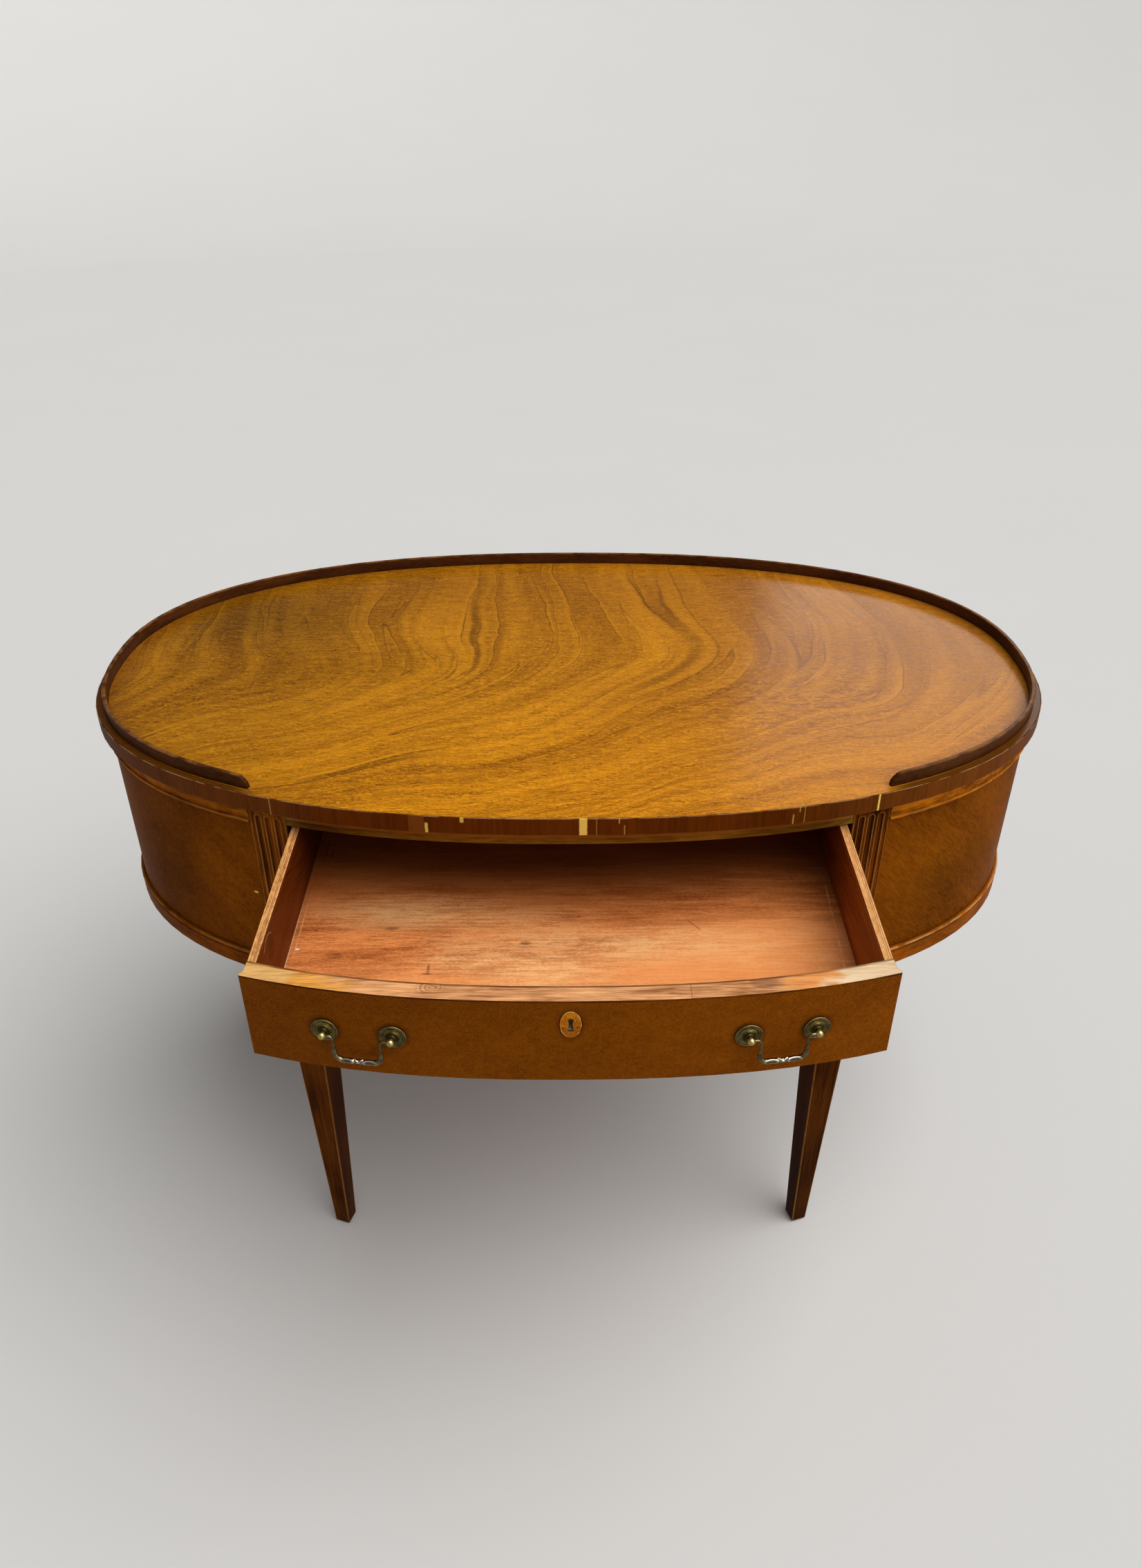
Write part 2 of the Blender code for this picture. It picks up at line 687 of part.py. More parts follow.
def build_stop(name, across):
    """Small block on the blade, just behind the closed drawer's front."""
    width, depth, height = STOP_SIZE
    inner_x = STOP_X - width / 2
    face = oval_point(front_angle_at(inner_x, FRONT_BACK_SETBACK), FRONT_BACK_SETBACK).y
    outer_face = oval_point(front_angle_at(inner_x + width, FRONT_BACK_SETBACK), FRONT_BACK_SETBACK).y
    low_y = max(face, outer_face) + SEAT_GAP
    low = (inner_x, low_y, BLADE_TOP + SEAT_GAP)
    high = (inner_x + width, low_y + depth, BLADE_TOP + SEAT_GAP + height)
    add_side_box(name, across, low, high, "plain_wood")


# Drawer, modelled closed and carried forward by its slide

def front_loop():
    """Plan of the bowed front, with a thin lip and a cove at each end."""
    tip = front_angle_at(FRONT_HALF, APRON_SETBACK)
    face = oval_arc((-math.pi - tip, tip), APRON_SETBACK)
    lip = face[-1].y + FRONT_LIP
    centre = (FRONT_HALF, lip + FRONT_COVE_DEPTH)
    cove = arc_points(centre, (FRONT_COVE_WIDTH, FRONT_COVE_DEPTH), 270, 180, 4)
    inner_tip = front_angle_at(BOX_HALF, FRONT_BACK_SETBACK)
    back = oval_arc((-math.pi - inner_tip, inner_tip), FRONT_BACK_SETBACK)
    left_cove = [(-x, y) for x, y in reversed(cove)]
    return face + cove + back[::-1] + left_cove


def bottom_loop(clearance):
    """Plan of the drawer bottom, which runs into grooves in the front and the sides."""
    half = BOX_HALF - SIDE_THICKNESS + BOTTOM_GROOVE_DEPTH + clearance
    setback = FRONT_BACK_SETBACK - BOTTOM_GROOVE_DEPTH - clearance
    tip = front_angle_at(half, setback)
    rear = DRAWER_REAR + clearance
    return oval_arc((-math.pi - tip, tip), setback) + [Vector((half, rear)), Vector((-half, rear))]


def side_loop(across):
    """Plan of a drawer side, its front end fitted to the bowed front."""
    outer = BOX_HALF
    inner = BOX_HALF - SIDE_THICKNESS
    ends = []
    for x in (inner, outer):
        seat = oval_point(front_angle_at(x, FRONT_BACK_SETBACK - SEAT_GAP), FRONT_BACK_SETBACK).y
        ends.append((x, seat + 2 * SEAT_GAP))
    corners = ends + [(outer, DRAWER_REAR), (inner, DRAWER_REAR)]
    return [(x * across, y) for x, y in corners]


def build_drawer():
    """Drawer box with its escutcheon and two bail handles."""
    slide = bpy.data.objects.new("drawer_slide", None)
    bpy.data.collections["oval_writing_desk"].objects.link(slide)
    slide.location = (0, -PULL_OUT, 0)
    board = outline_mesh("drawer_front", [front_loop()], FRONT_BOTTOM, DRAWER_TOP)
    front = add_part("drawer_front", board, "front_veneer", slide)
    low = BOTTOM_TOP - BOTTOM_THICKNESS
    bottom = outline_mesh("drawer_bottom", [bottom_loop(0)], low, BOTTOM_TOP)
    add_part("drawer_bottom", bottom, "drawer_wood", slide)
    groove_shape = outline_mesh(
        "bottom_groove", [bottom_loop(SEAT_GAP)], low - SEAT_GAP, BOTTOM_TOP + SEAT_GAP
    )
    groove = add_cutter("bottom_groove", groove_shape, slide)
    cut(front, groove)
    for side, across in (("left", -1), ("right", 1)):
        name = f"{side}_drawer_side"
        board = outline_mesh(name, [side_loop(across)], SIDE_BOTTOM, SIDE_TOP)
        cut(add_part(name, board, "drawer_wood", slide), groove)
        build_handle(side, across, front, slide)
    half = BOX_HALF - SIDE_THICKNESS - SEAT_GAP
    back = box_mesh(
        "drawer_back",
        (-half, DRAWER_REAR - SIDE_THICKNESS, BOTTOM_TOP + SEAT_GAP),
        (half, DRAWER_REAR, SIDE_TOP - BACK_DROP),
    )
    add_part("drawer_back", back, "drawer_wood", slide)
    build_escutcheon(front, slide)


def keyhole_loop(margin):
    """Round eye over a flared slot, grown all round by a margin."""
    eye = KEYHOLE_EYE_RADIUS + margin
    slot = KEYHOLE_SLOT_WIDTH / 2 + margin
    foot = KEYHOLE_FOOT_WIDTH / 2 + margin
    mouth = math.degrees(math.asin(slot / eye))
    drop = -KEYHOLE_DROP - margin
    return arc_points((0, 0), (eye, eye), mouth - 90, 270 - mouth, 12) + [(-foot, drop), (foot, drop)]


def oval_plate(margin):
    """Outline of the escutcheon, grown all round by a margin and hung below its keyhole's eye."""
    radii = (ESCUTCHEON_WIDTH / 2 + margin, ESCUTCHEON_HEIGHT / 2 + margin)
    return arc_points((0, -KEYHOLE_RISE), radii, 0, 360, 2 * TURNING_STEPS)[:-1]


def build_escutcheon(front, slide):
    """Oval plate let into the drawer front, with a keyhole that runs on into the wood."""
    face = oval_point(FRONT_ANGLE, APRON_SETBACK)
    eye_height = DRAWER_TOP - ESCUTCHEON_BELOW_TOP + KEYHOLE_RISE
    stand = axes_frame(Vector((face.x, face.y, eye_height)), Vector((1, 0, 0)), Vector((0, -1, 0)))
    floor = ESCUTCHEON_PROUD - ESCUTCHEON_THICKNESS
    loops = [oval_plate(0), keyhole_loop(0)]
    plate = outline_mesh("escutcheon", loops, floor, ESCUTCHEON_PROUD)
    add_part("escutcheon", plate, "inlay", slide).matrix_basis = stand
    past_face = FRONT_THICKNESS
    recess = outline_mesh("escutcheon_recess", [oval_plate(SEAT_GAP)], floor - SEAT_GAP, past_face)
    keyway = outline_mesh("keyway", [keyhole_loop(SEAT_GAP)], -KEYHOLE_DEPTH, past_face)
    for mesh in (recess, keyway):
        cutter = add_cutter(mesh.name, mesh, slide)
        cutter.matrix_basis = stand
        cut(front, cutter)


# Handles

def rosette_profile():
    """Dished back plate with a rolled rim and a raised boss, bored for the post."""
    bore = SHANK_RADIUS + SHANK_CLEARANCE
    rim = ROSETTE_RADIUS - ROSETTE_RIM_RADIUS
    crown = ROSETTE_DISH_HEIGHT + ROSETTE_RIM_RADIUS
    profile = [(bore, ROSETTE_BOSS_HEIGHT), (ROSETTE_BOSS_RADIUS, ROSETTE_BOSS_HEIGHT)]
    profile += [(ROSETTE_DISH_RADIUS, ROSETTE_DISH_HEIGHT), (rim - ROSETTE_RIM_RADIUS, ROSETTE_DISH_HEIGHT)]
    profile += arc_points((rim, crown), (ROSETTE_RIM_RADIUS, ROSETTE_RIM_RADIUS), 150, 0, 3)
    profile += [(ROSETTE_RADIUS, SEAT_GAP), (bore, SEAT_GAP)]
    return profile


def post_profile():
    """Ball end, neck, collar and plain shank, from the tip down."""
    collar = ROSETTE_BOSS_HEIGHT + SEAT_GAP
    shank_end = -FRONT_THICKNESS - NUT_THICKNESS - SHANK_PAST_NUT
    ball_foot = -math.degrees(math.acos(NECK_RADIUS / BALL_RADIUS))
    profile = arc_points((0, HANDLE_STANDOFF), (BALL_RADIUS, BALL_RADIUS), 90, ball_foot, 7)
    profile[0] = (0, HANDLE_STANDOFF + BALL_RADIUS)
    profile += [(NECK_RADIUS, collar + COLLAR_THICKNESS)]
    profile += [(COLLAR_RADIUS, collar + COLLAR_THICKNESS), (COLLAR_RADIUS, collar)]
    profile += [(SHANK_RADIUS, collar), (SHANK_RADIUS, shank_end), (0, shank_end)]
    return profile


def bail_half():
    """Right half of the swan-neck bail, from its pin to the middle of its bar: across, up, radius."""
    shoulder = (BAIL_NECK_HALF + BAIL_SHOULDER_RADIUS, -BAIL_SHOULDER_RADIUS)
    corner = (BAIL_NECK_HALF - BAIL_CORNER_RADIUS, BAIL_CORNER_RADIUS - BAIL_DROP)
    bend = (BAIL_SHOULDER_RADIUS, BAIL_SHOULDER_RADIUS)
    turn = (BAIL_CORNER_RADIUS, BAIL_CORNER_RADIUS)
    wire = [(HANDLE_BORING / 2 + PIN_PAST_CENTRE, 0)]
    wire += arc_points(shoulder, bend, 90, 180, 3)
    wire += arc_points(corner, turn, 0, -90, 4)[:-1]
    swell = (BAIL_BAR_RADIUS + PIN_RADIUS) / 2
    return [(across, up, PIN_RADIUS) for across, up in wire] + [
        (corner[0], -BAIL_DROP, swell),
        (BAIL_BAR_HALF, -BAIL_DROP, BAIL_BAR_RADIUS),
        (BAIL_KNOT_HALF, -BAIL_DROP, BAIL_BAR_RADIUS),
        (BAIL_KNOT_HALF / 2, -BAIL_DROP, BAIL_KNOT_RADIUS),
        (0, -BAIL_DROP, BAIL_BAR_RADIUS),
    ]


def bail_mesh(name):
    """Bent wire with pins at its ends and a stouter bar that swells to a knot."""
    right = bail_half()
    path = right + [(-across, up, radius) for across, up, radius in reversed(right[:-1])]
    curve = bpy.data.curves.new(name, "CURVE")
    curve.dimensions = "3D"
    curve.bevel_depth = 1
    curve.bevel_resolution = 2
    curve.use_fill_caps = True
    spline = curve.splines.new("POLY")
    spline.points.add(len(path) - 1)
    for point, (across, up, radius) in zip(spline.points, path):
        point.co = (across, 0, up, 1)
        point.radius = radius
    return solid_from_curve(curve)


def handle_seats(across):
    """Angles of a handle's two posts on the drawer front, from left to right."""
    slope = oval_normal(front_angle_at(HANDLE_CENTRE_X, APRON_SETBACK))
    half = HANDLE_BORING / 2 * abs(slope.y)
    angles = [front_angle_at(HANDLE_CENTRE_X + step, APRON_SETBACK) for step in (-half, half)]
    if across < 0:
        return [-math.pi - angle for angle in reversed(angles)]
    return angles


def handle_frame(seats):
    """Direction along a handle's two seats, and the direction square to it."""
    chord = (seats[1] - seats[0]).normalized().to_3d()
    return chord, Vector((chord.y, -chord.x, 0))


def build_handle(side, across, front, slide):
    """Two rosettes, posts and nuts on the drawer front, and the bail that hangs in the posts."""
    angles = handle_seats(across)
    seats = [oval_point(angle, APRON_SETBACK) for angle in angles]
    chord, out = handle_frame(seats)
    rise = Vector((0, 0, HANDLE_HEIGHT))
    for place, angle, seat in zip(("left", "right"), angles, seats):
        tag = f"{side}_handle_{place}"
        normal = oval_normal(angle).to_3d()
        tangent = Vector((-normal.y, normal.x, 0))
        rosette = turned_part(f"{tag}_rosette", rosette_profile(), TURNING_STEPS, "brass", slide, True)
        rosette.matrix_basis = axes_frame(seat.to_3d() + rise, tangent, normal)
        stand = axes_frame(seat.to_3d() + rise, chord, out)
        post = turned_part(f"{tag}_post", post_profile(), POST_STEPS, "brass", slide)
        post.matrix_basis = stand
        reach = 2 * BALL_RADIUS
        hole = rod_mesh(f"{tag}_eye", PIN_RADIUS + PIN_CLEARANCE, -reach, reach, POST_STEPS)
        eye = add_cutter(f"{tag}_eye", hole, slide)
        lift = Matrix.Translation((0, 0, HANDLE_STANDOFF))
        eye.matrix_basis = stand @ lift @ Matrix.Rotation(math.pi / 2, 4, "Y")
        cut(post, eye)
        clear = SHANK_RADIUS + SHANK_CLEARANCE
        bore = rod_mesh(f"{tag}_bore", clear, -2 * FRONT_THICKNESS, FRONT_THICKNESS, POST_STEPS)
        bore_cutter = add_cutter(f"{tag}_bore", bore, slide)
        bore_cutter.matrix_basis = stand
        cut(front, bore_cutter)
        build_nut(f"{tag}_nut", stand, bore_cutter, slide)
    middle = (seats[0] + seats[1]).to_3d() / 2 + rise + out * HANDLE_STANDOFF
    bail = add_part(f"{side}_bail", bail_mesh(f"{side}_bail"), "brass", slide)
    bail.matrix_basis = axes_frame(middle, chord, Vector((0, 0, 1)))


def build_nut(name, stand, bore_cutter, slide):
    """Six-sided nut against the back of the drawer front."""
    seat = -FRONT_THICKNESS - 2 * SEAT_GAP
    nut = add_part(name, rod_mesh(name, NUT_RADIUS, seat - NUT_THICKNESS, seat, 6), "steel", slide)
    nut.matrix_basis = stand
    cut(nut, bore_cutter)


def build():
    """Make the whole desk."""
    clear_scene()
    new_collection("oval_writing_desk")
    new_collection("cutters")
    build_top()
    build_aprons()
    build_legs()
    build_case()
    build_drawer()


build()
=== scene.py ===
"""Oval writing desk, dressed: veneers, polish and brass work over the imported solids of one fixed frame."""

import json
import math

import bmesh
import bpy
from bpy.props import FloatProperty, FloatVectorProperty, PointerProperty
from mathutils import Matrix, Vector

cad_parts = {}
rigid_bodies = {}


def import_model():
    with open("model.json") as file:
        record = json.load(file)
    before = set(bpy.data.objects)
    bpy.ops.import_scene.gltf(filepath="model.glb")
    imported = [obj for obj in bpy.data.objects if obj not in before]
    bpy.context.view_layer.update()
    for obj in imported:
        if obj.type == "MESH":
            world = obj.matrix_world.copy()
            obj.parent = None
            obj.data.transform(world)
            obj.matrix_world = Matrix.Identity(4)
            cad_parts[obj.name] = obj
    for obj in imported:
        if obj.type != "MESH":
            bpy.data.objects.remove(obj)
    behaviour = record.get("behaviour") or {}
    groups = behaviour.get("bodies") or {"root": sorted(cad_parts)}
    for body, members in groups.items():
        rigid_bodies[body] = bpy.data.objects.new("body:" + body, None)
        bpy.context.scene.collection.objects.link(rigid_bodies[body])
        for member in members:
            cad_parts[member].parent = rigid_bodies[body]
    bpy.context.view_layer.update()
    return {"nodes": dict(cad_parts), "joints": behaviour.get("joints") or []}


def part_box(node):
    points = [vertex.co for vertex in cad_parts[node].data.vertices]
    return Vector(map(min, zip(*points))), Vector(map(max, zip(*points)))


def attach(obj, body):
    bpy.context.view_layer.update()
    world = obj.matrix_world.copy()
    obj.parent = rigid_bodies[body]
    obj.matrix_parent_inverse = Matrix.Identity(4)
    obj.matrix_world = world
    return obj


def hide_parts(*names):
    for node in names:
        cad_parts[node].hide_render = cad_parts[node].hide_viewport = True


bl_info = {
    "name": "Oval Writing Desk",
    "version": (1, 0, 0),
    "blender": (4, 5, 0),
    "location": "View3D > Sidebar > Writing Desk",
    "description": "Dresses the solids of an oval writing desk with veneers, polish and brass work",
    "category": "Object",
}

for leftover in list(bpy.data.objects):
    bpy.data.objects.remove(leftover)
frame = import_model()
NODES = frame["nodes"]
JOINTS = {joint["name"]: joint for joint in frame["joints"]}

# Places read from the frame

TOP_HALF_WIDTH, TOP_HALF_DEPTH, TOP_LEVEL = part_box("edge_band")[1]
OVAL_POWER = 2.31
FRONT_LOW, FRONT_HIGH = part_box("drawer_front")
BOTTOM_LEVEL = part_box("drawer_bottom")[1].z
PLATE_LOW, PLATE_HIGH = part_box("escutcheon")
PLATE_CENTRE = (PLATE_LOW + PLATE_HIGH) / 2
FRIEZE_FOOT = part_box("left_frieze_moulding")[0].z
BASE_LOW, BASE_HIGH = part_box("left_base_band")
SIDE_LOW, SIDE_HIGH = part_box("left_drawer_side")
SIDES = ("left", "right")
ENDS = ("front", "back")
CREASE_ANGLE = math.radians(38)
ARRIS = 0.0006
FINE_ARRIS = 0.0005
INLAY_ARRIS = 0.0003
WARM_GLOSS = (1.0, 0.60, 0.25)
WARM_BLOOM = (1.0, 0.36, 0.08)
BLOOM_ROUGHNESS = 0.25
CLOUD_SPREAD = 0.16
SHADE_SAMPLES = 6
WELD_GAP = 0.00001
STAGE_STEPS = 96


# Settings that a user would change

def colour(name, description, default):
    """A colour setting."""
    return FloatVectorProperty(
        name=name, description=description, subtype="COLOR", size=3, min=0.0, max=1.0, default=default
    )


def number(name, description, default, **limits):
    """A number setting, with its unit and limits."""
    return FloatProperty(name=name, description=description, default=default, **limits)


def length(name, description, default):
    """A length setting in metres."""
    return number(name, description, default, unit="LENGTH", precision=5, min=0.0)


class DeskWoods(bpy.types.PropertyGroup):
    """Colours of the desk's veneers and solid woods"""

    top_gold: colour("Top gold", "Light figure of the top's veneer", (0.70, 0.275, 0.010))
    top_brown: colour("Top brown", "Dark figure of the top's veneer", (0.22, 0.066, 0.003))
    top_line: colour("Top line", "Growth lines and pores of the top's veneer", (0.085, 0.023, 0.002))
    band_brown: colour("Edge brown", "Cross-cut veneer round the edge of the top", (0.165, 0.040, 0.003))
    chip_pale: colour("Bare wood", "Pale wood where veneer or polish is gone", (1.0, 0.72, 0.15))
    panel_light: colour("Panel light", "Light figure of the curved panels", (0.27, 0.071, 0.002))
    panel_dark: colour("Panel dark", "Dark figure of the curved panels", (0.115, 0.028, 0.001))
    leg_light: colour("Leg light", "Light grain of the legs", (0.140, 0.037, 0.003))
    leg_dark: colour("Leg dark", "Dark grain of the legs", (0.042, 0.010, 0.001))
    wear_gold: colour("Worn edge", "Polish rubbed thin along an edge", (0.56, 0.235, 0.050))
    front_light: colour("Front light", "Light figure of the drawer front", (0.232, 0.060, 0.001))
    front_dark: colour("Front dark", "Dark figure of the drawer front", (0.098, 0.024, 0.001))
    drawer_red: colour("Drawer red", "Wood inside the drawer", (0.96, 0.325, 0.092))
    drawer_pale: colour("Drawer pale", "Worn wood inside the drawer", (1.0, 0.54, 0.22))
    plain_tan: colour("Plain tan", "Unpolished wood inside the case", (0.34, 0.19, 0.085))
    inlay_amber: colour("Inlay amber", "Oval inlay round the keyhole", (0.74, 0.250, 0.008))


class DeskMetals(bpy.types.PropertyGroup):
    """Colours and sizes of the desk's brass work"""

    brass_bright: colour("Brass bright", "Rubbed brass on high places", (0.92, 0.86, 0.74))
    brass_dull: colour("Brass dull", "Tarnished brass in hollows", (0.045, 0.030, 0.010))
    steel_grey: colour("Steel grey", "Nuts and glides", (0.36, 0.35, 0.34))
    rosette_radius: length("Rosette radius", "Radius of a handle's back plate", 0.0138)
    rope_radius: length("Rope radius", "Radius of the rope rim of a back plate", 0.0009)
    ball_radius: length("Ball radius", "Radius of the ball at the end of a post", 0.0041)
    standoff: length("Standoff", "Distance of the bail's pins from the drawer front", 0.0092)
    boring: length("Boring", "Distance between the two posts of a handle", 0.068)
    pin_radius: length("Wire radius", "Radius of the bail's wire", 0.0014)
    bar_radius: length("Bar radius", "Radius of the bail's bar", 0.0026)
    bail_neck: length("Bail neck", "Half the distance between the bail's two falls", 0.0233)
    bail_drop: length("Bail drop", "Fall of the bail below its pins", 0.0298)


class DeskStage(bpy.types.PropertyGroup):
    """Floor, lights and viewpoint"""

    floor_pale: colour("Floor", "Colour of the plain floor", (0.70, 0.69, 0.67))
    sweep_pale: colour("Sweep", "Colour of the sweep above the floor", (0.80, 0.79, 0.77))
    world_grey: colour("Surround", "Colour of the plain surround", (0.24, 0.24, 0.24))
    sun_strength: number("Key", "Strength of the soft key light", 2.45, min=0.0)
    fill_strength: number("Fill", "Strength of the soft side light", 0.5, min=0.0)
    panel_power: number(
        "Back light", "Power of the soft light behind the desk", 34.0, unit="POWER", min=0.0
    )
    camera_place: FloatVectorProperty(
        name="Viewpoint", description="Place of the camera", subtype="XYZ", unit="LENGTH", size=3,
        default=(-0.0016, -1.3974, 1.4961)
    )
    camera_lens: number("Lens", "Focal length on a 36 mm wide sensor", 27.14, unit="CAMERA")
    camera_pitch: number("Pitch", "Angle of the view below level", math.radians(33.48), unit="ROTATION")
    camera_yaw: number("Yaw", "Angle of the view to the right", math.radians(0.166), unit="ROTATION")
    camera_roll: number("Roll", "Tilt of the view about its axis", math.radians(0.117), unit="ROTATION")


# Materials

class Finish:
    """A material in the making: its shader, and short ways to add the nodes that feed it."""

    def __init__(self, name, specular=0.5, metallic=0.0, gloss=(1.0, 1.0, 1.0), bloom=0.0):
        self.material = bpy.data.materials.new(name)
        self.material.use_nodes = True
        self.tree = self.material.node_tree
        self.shader = self.tree.nodes["Principled BSDF"]
        constants = {
            "Specular IOR Level": specular, "Metallic": metallic, "Specular Tint": gloss,
            "Sheen Weight": bloom, "Sheen Tint": WARM_BLOOM, "Sheen Roughness": BLOOM_ROUGHNESS,
        }
        for key, value in constants.items():
            self.feed(self.shader.inputs[key], value)
        self.base = None
        self.place = self.add("ShaderNodeTexCoord", {}).outputs["Object"]
        split = self.add("ShaderNodeSeparateXYZ", {0: self.place})
        self.x, self.y, self.z = split.outputs

    def add(self, kind, inputs, **settings):
        """A node with its settings, links and values."""
        made = self.tree.nodes.new(kind)
        for key, value in settings.items():
            setattr(made, key, value)
        for key, value in inputs.items():
            self.feed(made.inputs[key], value)
        return made

    def feed(self, socket, value):
        """A link into a socket, or a value on it."""
        if isinstance(value, bpy.types.NodeSocket):
            self.tree.links.new(value, socket)
        elif socket.type == "RGBA":
            socket.default_value = (*value, 1.0)
        else:
            socket.default_value = value

    def calc(self, operation, first, second=0.0, clamp=False):
        """One step of arithmetic."""
        return self.add(
            "ShaderNodeMath", {0: first, 1: second}, operation=operation, use_clamp=clamp
        ).outputs[0]

    def total(self, *terms):
        """The sum of several terms, each a socket or a (socket, weight) pair."""
        result = None
        for term in terms:
            if isinstance(term, tuple):
                term = self.times(*term)
            result = term if result is None else self.calc("ADD", result, term)
        return result

    def times(self, *factors):
        """The product of several factors."""
        result = factors[0]
        for factor in factors[1:]:
            result = self.calc("MULTIPLY", result, factor)
        return result

    def largest(self, *masks):
        """The strongest of several masks at each place."""
        result = masks[0]
        for mask in masks[1:]:
            result = self.calc("MAXIMUM", result, mask)
        return result

    def join(self, x, y, z):
        """A vector from three parts."""
        return self.add("ShaderNodeCombineXYZ", {0: x, 1: y, 2: z}).outputs[0]

    def stretch(self, vector, factors):
        """A vector scaled on its own axes."""
        return self.add("ShaderNodeVectorMath", {0: vector, 1: factors}, operation="MULTIPLY").outputs[0]

    def span(self, vector):
        """The length of a vector."""
        return self.add("ShaderNodeVectorMath", {0: vector}, operation="LENGTH").outputs["Value"]

    def noise(self, vector, scale, detail=2.0, distortion=0.0):
        """Soft random cloud from 0 to 1."""
        inputs = {"Vector": vector, "Scale": scale, "Detail": detail, "Distortion": distortion}
        return self.add("ShaderNodeTexNoise", inputs).outputs["Fac"]

    def even(self, cloud):
        """A cloud stretched to fill the range from 0 to 1."""
        return self.ramp(cloud, 0.5 - CLOUD_SPREAD, 0.5 + CLOUD_SPREAD)

    def grain(self, factors, detail=2.0, distortion=0.0, place=None):
        """Random cloud drawn out along the grain: more waves per metre on an axis make it finer there."""
        drawn = self.stretch(self.place if place is None else place, factors)
        return self.noise(drawn, 1.0, detail, distortion)

    def fleck(self, factors, detail=2.0, distortion=0.0, place=None):
        """The same cloud, stretched to fill the range from 0 to 1."""
        return self.even(self.grain(factors, detail, distortion, place))

    def ramp(self, value, low, high, first=0.0, last=1.0):
        """An even step from one value to another."""
        inputs = {"Value": value, "From Min": low, "From Max": high, "To Min": first, "To Max": last}
        return self.add("ShaderNodeMapRange", inputs, interpolation_type="SMOOTHSTEP").outputs[0]

    def fall(self, value, low, high):
        """1 below the lower value, falling to 0 at the higher one."""
        return self.ramp(value, low, high, 1.0, 0.0)

    def mix(self, share, first, second, how="MIX"):
        """Two colours mixed by a share."""
        node = self.add("ShaderNodeMix", {0: share, 6: first, 7: second}, data_type="RGBA", blend_type=how)
        return node.outputs[2]

    def lay(self, under, colour, *masks):
        """A colour laid over another, as far as every mask lets it show."""
        return self.mix(self.times(*masks), under, colour)

    def coat(self, colour, *masks):
        """A coat laid over the finish so far, as far as every mask lets it show."""
        self.base = self.lay(self.base, colour, *masks)

    def tint(self, colour, *masks):
        """The finish so far multiplied by a tint, as far as every mask lets it show."""
        self.base = self.mix(self.times(*masks), self.base, colour, "MULTIPLY")

    def spot(self, centre, radii, edge):
        """A round mark: 1 inside and 0 outside, with a soft edge."""
        inputs = {0: self.place, 1: tuple(centre)}
        away = self.add("ShaderNodeVectorMath", inputs, operation="SUBTRACT").outputs[0]
        shares = tuple(1.0 / radius for radius in radii)
        return self.fall(self.span(self.stretch(away, shares)), 1.0 - edge, 1.0 + edge)

    def band(self, value, low, high, edge):
        """1 between two values and 0 beyond them."""
        rise = self.ramp(value, low - edge, low + edge)
        return self.times(rise, self.fall(value, high - edge, high + edge))

    def edges(self, radius, low=0.01, high=0.16):
        """1 along the arrises of a shape and 0 on its faces."""
        rounded = self.add("ShaderNodeBevel", {"Radius": radius}, samples=SHADE_SAMPLES).outputs["Normal"]
        true_normal = self.add("ShaderNodeNewGeometry", {}).outputs["Normal"]
        dot = self.add("ShaderNodeVectorMath", {0: rounded, 1: true_normal}, operation="DOT_PRODUCT")
        return self.ramp(self.calc("SUBTRACT", 1.0, dot.outputs["Value"]), low, high)

    def normal(self):
        """The three parts of the true direction of a face."""
        facing = self.add("ShaderNodeNewGeometry", {}).outputs["True Normal"]
        return self.add("ShaderNodeSeparateXYZ", {0: facing}).outputs

    def stored(self, name):
        """A number stored on the points of a mesh, or 0 where there is none."""
        return self.add("ShaderNodeAttribute", {}, attribute_name=name).outputs["Fac"]

    def hollows(self, distance):
        """1 in tight corners and 0 on open faces."""
        node = self.add("ShaderNodeAmbientOcclusion", {"Distance": distance}, samples=SHADE_SAMPLES)
        return self.calc("SUBTRACT", 1.0, node.outputs["AO"], True)

    def surface(self, roughness, height, depth, strength):
        """The finished material, from its colour, a roughness and a relief."""
        self.feed(self.shader.inputs["Base Color"], self.base)
        self.feed(self.shader.inputs["Roughness"], roughness)
        inputs = {"Strength": strength, "Distance": depth, "Height": height}
        self.feed(self.shader.inputs["Normal"], self.add("ShaderNodeBump", inputs).outputs["Normal"])
        return self.material


def top_field(finish):
    """Number that is even along each grain line of the top: upright behind, swung to the left in front."""
    sway = finish.grain((2.3, 2.8, 0.0), 1.0)
    tilt = finish.grain((3.4, 1.5, 0.0), 1.0)
    wander = finish.grain((9.0, 12.0, 0.0))
    across = finish.total(finish.y, (finish.calc("SUBTRACT", tilt, 0.5), 0.16))
    bend = finish.calc("SQRT", finish.calc("ADD", finish.times(across, across), 0.0050))
    ahead = finish.times(finish.calc("SUBTRACT", bend, across), 0.5)
    behind = finish.times(finish.calc("ADD", bend, across), 0.5)
    fall = finish.times(ahead, finish.total((ahead, 3.0), 0.9))
    bulge = finish.calc("DIVIDE", behind, finish.calc("ADD", behind, 0.06))
    return finish.total(finish.x, fall, (bulge, 0.12), (sway, 0.19), (wander, 0.022))


def along_field(finish, field, across, along, detail, shift=0.0):
    """Cloud drawn out along the top's grain lines."""
    vector = finish.join(
        finish.total((field, across), shift), finish.times(finish.x, along), finish.times(finish.y, along)
    )
    return finish.noise(vector, 1.0, detail)


